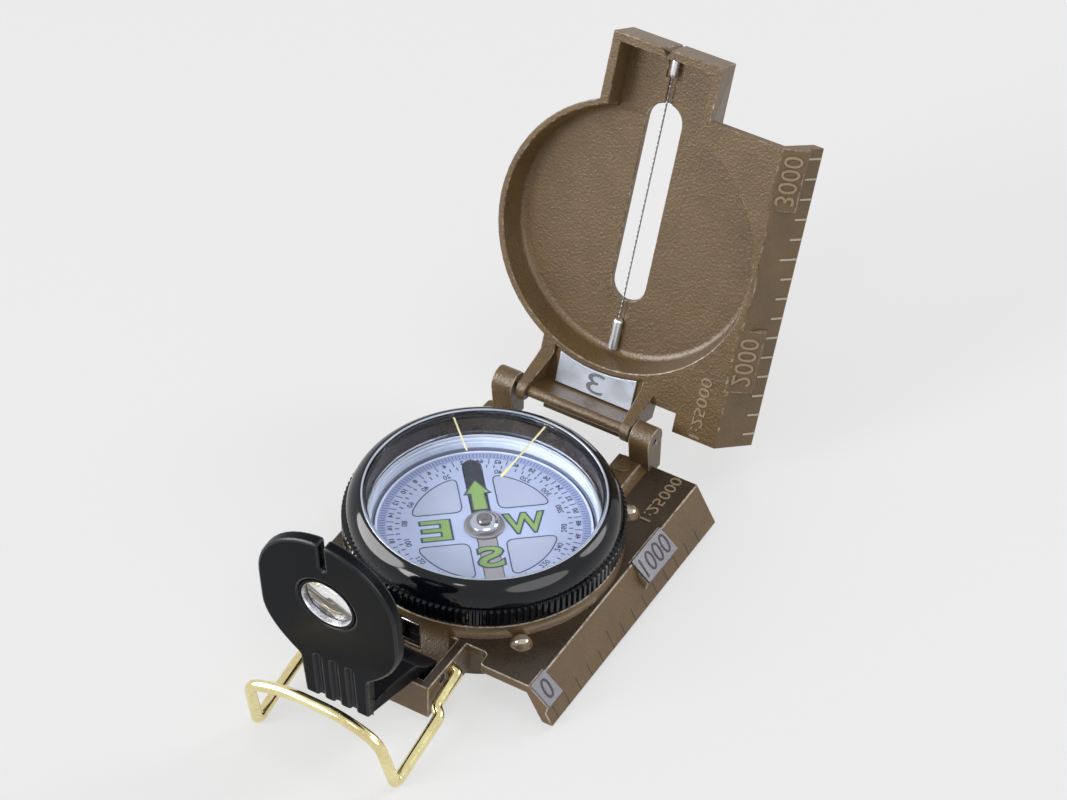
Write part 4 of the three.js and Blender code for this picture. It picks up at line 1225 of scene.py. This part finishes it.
# Bearing lines: outline and turn in degrees. Their paint lies just under the crystal
LONG_LINE = [
    (-0.19, 21.6), (-0.19, 9.6), (-0.34, 7.2), (-0.32, 6.2), (-0.16, 5.6), (0.16, 5.6), (0.32, 6.2),
    (0.34, 7.2), (0.19, 9.6), (0.19, 21.6),
]
SHORT_LINE = [
    (-0.16, 21.6), (-0.16, 12.4), (-0.1, 12.2), (0.1, 12.2), (0.16, 12.4), (0.16, 21.6)
]
BEARING_LINES = (("long_line", LONG_LINE, 0.0), ("short_line", SHORT_LINE, 46.6))
LINE_LOW, LINE_HIGH = 10.35, 10.42


class COMPASS_OT_crystal(bpy.types.Operator):
    """Makes the crystal and the two bearing lines under it."""

    bl_idname = "compass.crystal"
    bl_label = "Crystal"
    bl_options = UNDOABLE

    def execute(self, context):
        add_turned(CRYSTAL_TURNED, "bezel", BEZEL)
        for name, outline, turn in BEARING_LINES:
            line = slab(softened(outline, MARK_ROUNDING, 2), LINE_LOW, LINE_HIGH)
            place = BEZEL @ spin(turn)
            add_piece(name + "_drawn", line, "bezel", ["bearing_line"], [name], place)
        return {"FINISHED"}


class COMPASS_OT_lid(bpy.types.Operator):
    """Makes the painted lid casting with its rounded edges."""

    bl_idname = "compass.lid"
    bl_label = "Lid"
    bl_options = UNDOABLE

    def execute(self, context):
        add_casting("lid_casting", solid_of("lid_casting"), "lid", ["cast_paint", "lid_edge"])
        return {"FINISHED"}


# Numbers of the lid's ruler and their places along it, and the place of the plate's figure
LID_NUMBERS = (("2000", 18.45), ("3000", 54.95))
PLATE_SPOT = (0.1, 3.5, LID_FACE - 0.32)


class COMPASS_OT_lid_rulers(bpy.types.Operator):
    """Makes the number plate, ruler lines and figures of the lid."""

    bl_idname = "compass.lid_rulers"
    bl_label = "Lid rulers"
    bl_options = UNDOABLE

    def execute(self, context):
        look = sizes()
        # The lid's plate gets the bright silver, a painted reflection
        edge, looks = look.sheet_edge, ["stamped_silver"]
        add_solid("number_plate", "_stamped", "lid", "silver_plate", looks, edge)
        three = figures("3", 4.2, depth=0.1, width=3.6, weight=-0.004)
        spot = LID @ mirrored(PLATE_SPOT, (-1, 0, 0), ALONG)
        add_piece("figure_3", three, "lid", ["stamped_figure"], place=spot)
        # Raised numbers and map scale get paler paint, a painted highlight on their relief
        for words, along in LID_NUMBERS:
            mark = figures(words, look.plate_figure / MM, depth=0.3, width=9.6, weight=-0.004)
            spot = LID @ wedge_spot(LID_FACE, along, rise=-0.02)
            add_piece("figure_" + words, mark, "lid", ["raised_paint"], place=spot)
        width = look.lid_tick_width / MM
        lines = ruled_lines(LID_FACE, *LID_LINES, width, low=-0.04, high=0.14)
        add_piece("lid_ruler_lines", lines, "lid", ["rubbed_tick"], place=LID)
        scale = figures(MAP_SCALE, look.scale_figure / MM, depth=0.2, width=12.4, weight=0.004)
        spot = LID @ mirrored(LID_SCALE_SPOT, ALONG, ACROSS)
        add_piece("lid_map_scale", scale, "lid", ["raised_paint"], place=spot)
        return {"FINISHED"}


# Sighting wire: its height, its two ends, the pitch of its twist and steps in a turn of it
WIRE_HEIGHT, WIRE_LOW, WIRE_HIGH, WIRE_PITCH, WIRE_STEPS = -10.95, 15.75, 64.45, 0.9, 8

# Its anchors: radius, start, end, taper and whether they point down
ANCHORS = (
    ("wire_anchor_top", 0.8, 64.6, 68.3, 0.8, True),
    ("wire_anchor_bottom", 0.95, 9.4, 15.6, 0.35, False),
)
ANCHOR_EDGE, ANCHOR_POINT = 0.15, 0.6


def twisted_wire(strand):
    """Two strands twisted about each other."""
    span = WIRE_HIGH - WIRE_LOW
    steps = int(span / WIRE_PITCH * WIRE_STEPS)
    strands = []
    for phase in (0, math.pi):
        path = []
        for i in range(steps + 1):
            along = span * i / steps
            x, z = polar(strand, phase + FULL_TURN * along / WIRE_PITCH)
            path.append((x, WIRE_LOW + along, WIRE_HEIGHT + z))
        strands.append(tube(path, strand, sides=6))
    return merged(strands)


class COMPASS_OT_sight(bpy.types.Operator):
    """Makes the sighting wire and its two anchors."""

    bl_idname = "compass.sight"
    bl_label = "Sight"
    bl_options = UNDOABLE

    def execute(self, context):
        wire = twisted_wire(sizes().strand / MM)
        looks = ["wire_metal"]
        add_piece("sight_wire_twisted", wire, "lid", looks, ["sight_wire"], LID)
        upright = Matrix.Rotation(math.radians(-90), 4, "X")
        for name, radius, start, end, taper, down in ANCHORS:
            length = end - start
            profile = [
                (0, 0), (radius - ANCHOR_POINT * taper, 0), (radius, taper),
                (radius, length - ANCHOR_EDGE), (radius - ANCHOR_EDGE, length), (0, length),
            ]
            if not down:
                profile = [(r, length - z) for r, z in reversed(profile)]
            anchor = (profile, ANCHOR_EDGE, 3, 32, "bright_steel", "bright_metal", [name])
            place = LID @ Matrix.Translation((0, start, WIRE_HEIGHT)) @ upright
            add_turned({name + "_turned": anchor}, "lid", place)
        return {"FINISHED"}


# Lens: radius, bulge of each face, thickness at the rim, and its centre on the bracket
LENS_RADIUS, LENS_BULGE, LENS_RIM, LENS_CENTRE, LENS_RISE = 5.4, 0.5, 0.5, 29, 0.45
LENS_STEPS = 10
LENS_RING_TURNED = {
    "lens_ring_turned": (
        [(5.02, 1.12), (5.62, 1.12), (5.62, 2.34), (5.1, 2.34)],
        0.1, 3, 64, "bright_steel", "satin_bracket", ["lens_ring"],
    ),
    "lens_ring_lip": (
        [(4.86, 1.12), (5.0, 1.12), (5.0, 2.28), (4.94, 2.28)],
        0.03, 3, 64, "bright_steel", "bright_metal", ["lens_ring"],
    ),
}


def lens_profile():
    """Both faces of the lens, as arcs from the axis to the rim and back."""
    curve = (LENS_RADIUS**2 + LENS_BULGE**2) / (2 * LENS_BULGE)
    edge = math.asin(LENS_RADIUS / curve)
    sweep = [edge * i / LENS_STEPS for i in range(LENS_STEPS + 1)]
    face = [(curve * math.sin(a), curve * (1 - math.cos(a)) - LENS_BULGE) for a in sweep]
    return face + [(r, LENS_RIM - z) for r, z in reversed(face)]


class COMPASS_OT_lens_bracket(bpy.types.Operator):
    """Makes the moulded bracket, its lens and the ring that holds it."""

    bl_idname = "compass.lens_bracket"
    bl_label = "Lens bracket"
    bl_options = UNDOABLE

    def execute(self, context):
        # The rounded edges get the second finish, a painted highlight
        edge, looks = sizes().bracket_edge, ["satin_bracket", "bracket_rub"]
        add_solid(
            "lens_bracket", "_moulded", "bracket", "bracket_black", looks, edge,
            steps=3, edge_finish=1,
        )
        lens = lathe(lens_profile(), sides=64)
        place = BRACKET @ Matrix.Translation((0, LENS_CENTRE, LENS_RISE))
        add_piece("lens_ground", lens, "bracket", ["lens_glass"], ["lens"], place)
        place = BRACKET @ Matrix.Translation((0, LENS_CENTRE, 0))
        add_turned(LENS_RING_TURNED, "bracket", place)
        return {"FINISHED"}


# Thumb loop: place and height of its foot and knee, with a straight leg between them
FOOT_Y, FOOT_Z, KNEE_Y, KNEE_Z = -29.6, 7.1, -53.1, 1.1


def leg_spot(x, y, reach):
    """A corner on the straight leg of the thumb loop, with the reach of its bend."""
    return x, y, FOOT_Z + (KNEE_Z - FOOT_Z) * (y - FOOT_Y) / (KNEE_Y - FOOT_Y), reach


def loop_path():
    """The wire's centreline, from one foot to the other, with its bends rounded."""
    half = [
        leg_spot(9.55, FOOT_Y, 0.0), leg_spot(12.7, FOOT_Y, 1.1), leg_spot(12.7, -37.2, 0.9),
        leg_spot(14.3, -38.4, 0.9), leg_spot(14.3, KNEE_Y, 1.6), (13.2, -56.6, 14.2, 3.0),
        (5.5, -56.6, 16.7, 4.0),
    ]
    corners = half + [(-x, y, z, reach) for x, y, z, reach in reversed(half)]
    points = [Vector(corner[:3]) for corner in corners]
    path = [points[0]]
    for before, here, after, corner in zip(points, points[1:], points[2:], corners[1:]):
        start = here + (before - here).normalized() * corner[3]
        end = here + (after - here).normalized() * corner[3]
        path += bend(start, here, end, steps=12)
    return path + [points[-1]]


class COMPASS_OT_thumb_loop(bpy.types.Operator):
    """Makes the bent brass wire of the thumb loop."""

    bl_idname = "compass.thumb_loop"
    bl_label = "Thumb loop"
    bl_options = UNDOABLE

    def execute(self, context):
        wire = tube(loop_path(), sizes().loop_wire / MM, sides=20)
        add_piece("thumb_loop_wire", wire, "loop", ["loop_brass"], ["thumb_loop"])
        return {"FINISHED"}


# Stage

FLOOR_HALF = 3
FLOOR_GLOW, FLOOR_SEEN = 1.12, 0.7
WORLD_LIGHT = 0.42

# Below this depth a ray has not yet left a matt surface
NO_BOUNCE = 0.5

# Flat clear pieces, which would mirror a whole lamp from a low side
CLEAR_PIECES = ("crystal_disc", "capsule_window_clear")

# Lamps: place in metres, power, size, whether it lights surfaces and whether it shines in gloss
LAMP_AIM = Vector((0, 0, 0.02))
LAMPS = (
    ("key_lamp", (-0.5, -1, 0.65), 7.8, 0.5, True, True),
    ("side_lamp", (0.5, 0.75, 0.85), 3.2, 0.4, True, False),
    ("top_lamp", (0.3, -0.1, 1.15), 2.3, 0.6, True, False),
    ("left_card", (-0.9, -0.36, 0.56), 24, 1.0, False, True),
    ("front_card", (0.07, -0.62, 0.92), 0.4, 0.12, False, True),
    ("right_card", (0.62, 0.66, 0.63), 3.4, 0.5, False, True),
    ("low_card", (0.92, -0.25, 0.6), 6, 0.9, False, True),
)

# Camera: turn, rise and roll in degrees, aim in millimetres, distance in metres, lens and sensor
CAMERA_TURN, CAMERA_RISE, CAMERA_ROLL = 29.412, 42.020, 1.682
CAMERA_AIM, CAMERA_DISTANCE = Vector((4.019, 9.765, 37.331)), 0.594987
CAMERA_LENS, CAMERA_SENSOR = 112.402, 36


def seen_rays(tree, share):
    """A share for the rays that see the background: straight, in a reflection, or through glass."""
    path = node(tree, "ShaderNodeLightPath").outputs
    either = math_node(tree, "MAXIMUM", path["Is Camera Ray"], path["Is Glossy Ray"])
    any_ray = math_node(tree, "MAXIMUM", either, path["Is Transmission Ray"])
    direct = math_node(tree, "LESS_THAN", path["Diffuse Depth"], NO_BOUNCE)
    return math_node(tree, "MULTIPLY", any_ray, math_node(tree, "MULTIPLY", direct, share))


def make_floor():
    reach = FLOOR_HALF
    corners = ((-reach, -reach), (reach, -reach), (reach, reach), (-reach, reach))
    shape = bmesh.new()
    shape.faces.new([shape.verts.new((x, y, 0)) for x, y in corners])
    floor = add_object("floor", mesh_of("floor", shape))
    pale = rgba(colours().floor)
    material, tree, shader = start_finish("pale_floor")
    set_inputs(shader, {"Base Color": pale, "Roughness": 0.9, "Specular IOR Level": 0.0})
    glow = node(tree, "ShaderNodeEmission", {"Color": pale, "Strength": FLOOR_GLOW})
    mix_shaders(tree, seen_rays(tree, FLOOR_SEEN), shader, glow, "Material Output")
    floor.data.materials.append(material)


def make_world():
    world = bpy.data.worlds.new("studio")
    bpy.context.scene.world = world
    world.use_nodes = True
    tree = world.node_tree
    light = tree.nodes["Background"]
    set_inputs(light, {"Color": (1, 1, 1, 1), "Strength": WORLD_LIGHT})
    inputs = {"Color": rgba(colours().floor), "Strength": 1.0}
    backdrop = node(tree, "ShaderNodeBackground", inputs)
    mix_shaders(tree, seen_rays(tree, 1.0), light, backdrop, "World Output")


def spare_glass(lamp):
    """Keeps a lamp out of the flat clear pieces."""
    clear = bpy.data.collections.new(lamp.name + "_clear_pieces")
    for piece in CLEAR_PIECES:
        clear.objects.link(bpy.data.objects[piece])
    lamp.light_linking.receiver_collection = clear
    for item in clear.collection_objects:
        item.light_linking.link_state = "EXCLUDE"


def make_lamp(name, spot, power, size, lights, shines):
    """A soft disc lamp aimed at the compass. It may light it, shine in its gloss, or both."""
    lamp = bpy.data.lights.new(name, "AREA")
    lamp.energy = power
    lamp.shape = "DISK"
    lamp.size = size
    made = add_object(name, lamp)
    made.location = spot
    made.rotation_mode = "QUATERNION"
    made.rotation_quaternion = (LAMP_AIM - Vector(spot)).to_track_quat("-Z", "Y")
    made.visible_camera = False
    made.visible_diffuse = lights
    made.visible_glossy = shines
    if not lights:
        spare_glass(made)


def make_camera():
    turn, rise, roll = (math.radians(a) for a in (CAMERA_TURN, CAMERA_RISE, CAMERA_ROLL))
    flat = math.cos(rise)
    back = Vector((math.sin(turn) * flat, -math.cos(turn) * flat, math.sin(rise)))
    level = Vector((math.cos(turn), math.sin(turn), 0))
    lift = back.cross(level)
    right = level * math.cos(roll) + lift * math.sin(roll)
    up = lift * math.cos(roll) - level * math.sin(roll)
    eye = CAMERA_AIM * MM + back * CAMERA_DISTANCE
    data = bpy.data.cameras.new("camera")
    data.sensor_fit = "HORIZONTAL"
    data.sensor_width = CAMERA_SENSOR
    data.lens = CAMERA_LENS
    data.clip_start = 0.02
    data.clip_end = 20
    camera = add_object("camera", data)
    axes = Matrix((right, up, back)).transposed().to_4x4()
    camera.matrix_world = Matrix.Translation(eye) @ axes
    bpy.context.scene.camera = camera


class COMPASS_OT_stage(bpy.types.Operator):
    """Makes the floor, the soft light and the camera, after the clear pieces."""

    bl_idname = "compass.stage"
    bl_label = "Stage"
    bl_options = UNDOABLE

    def execute(self, context):
        context.scene.view_settings.view_transform = "Standard"
        make_floor()
        make_world()
        for lamp in LAMPS:
            make_lamp(*lamp)
        make_camera()
        return {"FINISHED"}


OPERATORS = (
    COMPASS_OT_case, COMPASS_OT_case_rulers, COMPASS_OT_small_steel, COMPASS_OT_capsule,
    COMPASS_OT_dial, COMPASS_OT_bezel, COMPASS_OT_crystal, COMPASS_OT_lid, COMPASS_OT_lid_rulers,
    COMPASS_OT_sight, COMPASS_OT_lens_bracket, COMPASS_OT_thumb_loop, COMPASS_OT_stage,
)


class COMPASS_PT_panel(bpy.types.Panel):
    """Lists the compass's pieces, sizes and colours."""

    bl_idname = "COMPASS_PT_panel"
    bl_label = "Compass"
    bl_space_type = "VIEW_3D"
    bl_region_type = "UI"
    bl_category = "Compass"

    def draw(self, context):
        for operator in OPERATORS:
            self.layout.operator(operator.bl_idname)
        for group in (context.scene.compass_sizes, context.scene.compass_colours):
            box = self.layout.box()
            for key in type(group).__annotations__:
                box.prop(group, key)


CLASSES = (CompassSizes, CompassColours, *OPERATORS, COMPASS_PT_panel)


def register():
    for item in CLASSES:
        bpy.utils.register_class(item)
    bpy.types.Scene.compass_sizes = PointerProperty(type=CompassSizes)
    bpy.types.Scene.compass_colours = PointerProperty(type=CompassColours)


def unregister():
    del bpy.types.Scene.compass_colours
    del bpy.types.Scene.compass_sizes
    for item in reversed(CLASSES):
        bpy.utils.unregister_class(item)


def main():
    register()
    for operator in OPERATORS:
        getattr(bpy.ops.compass, operator.bl_idname.split(".")[1])()


if __name__ == "__main__":
    main()
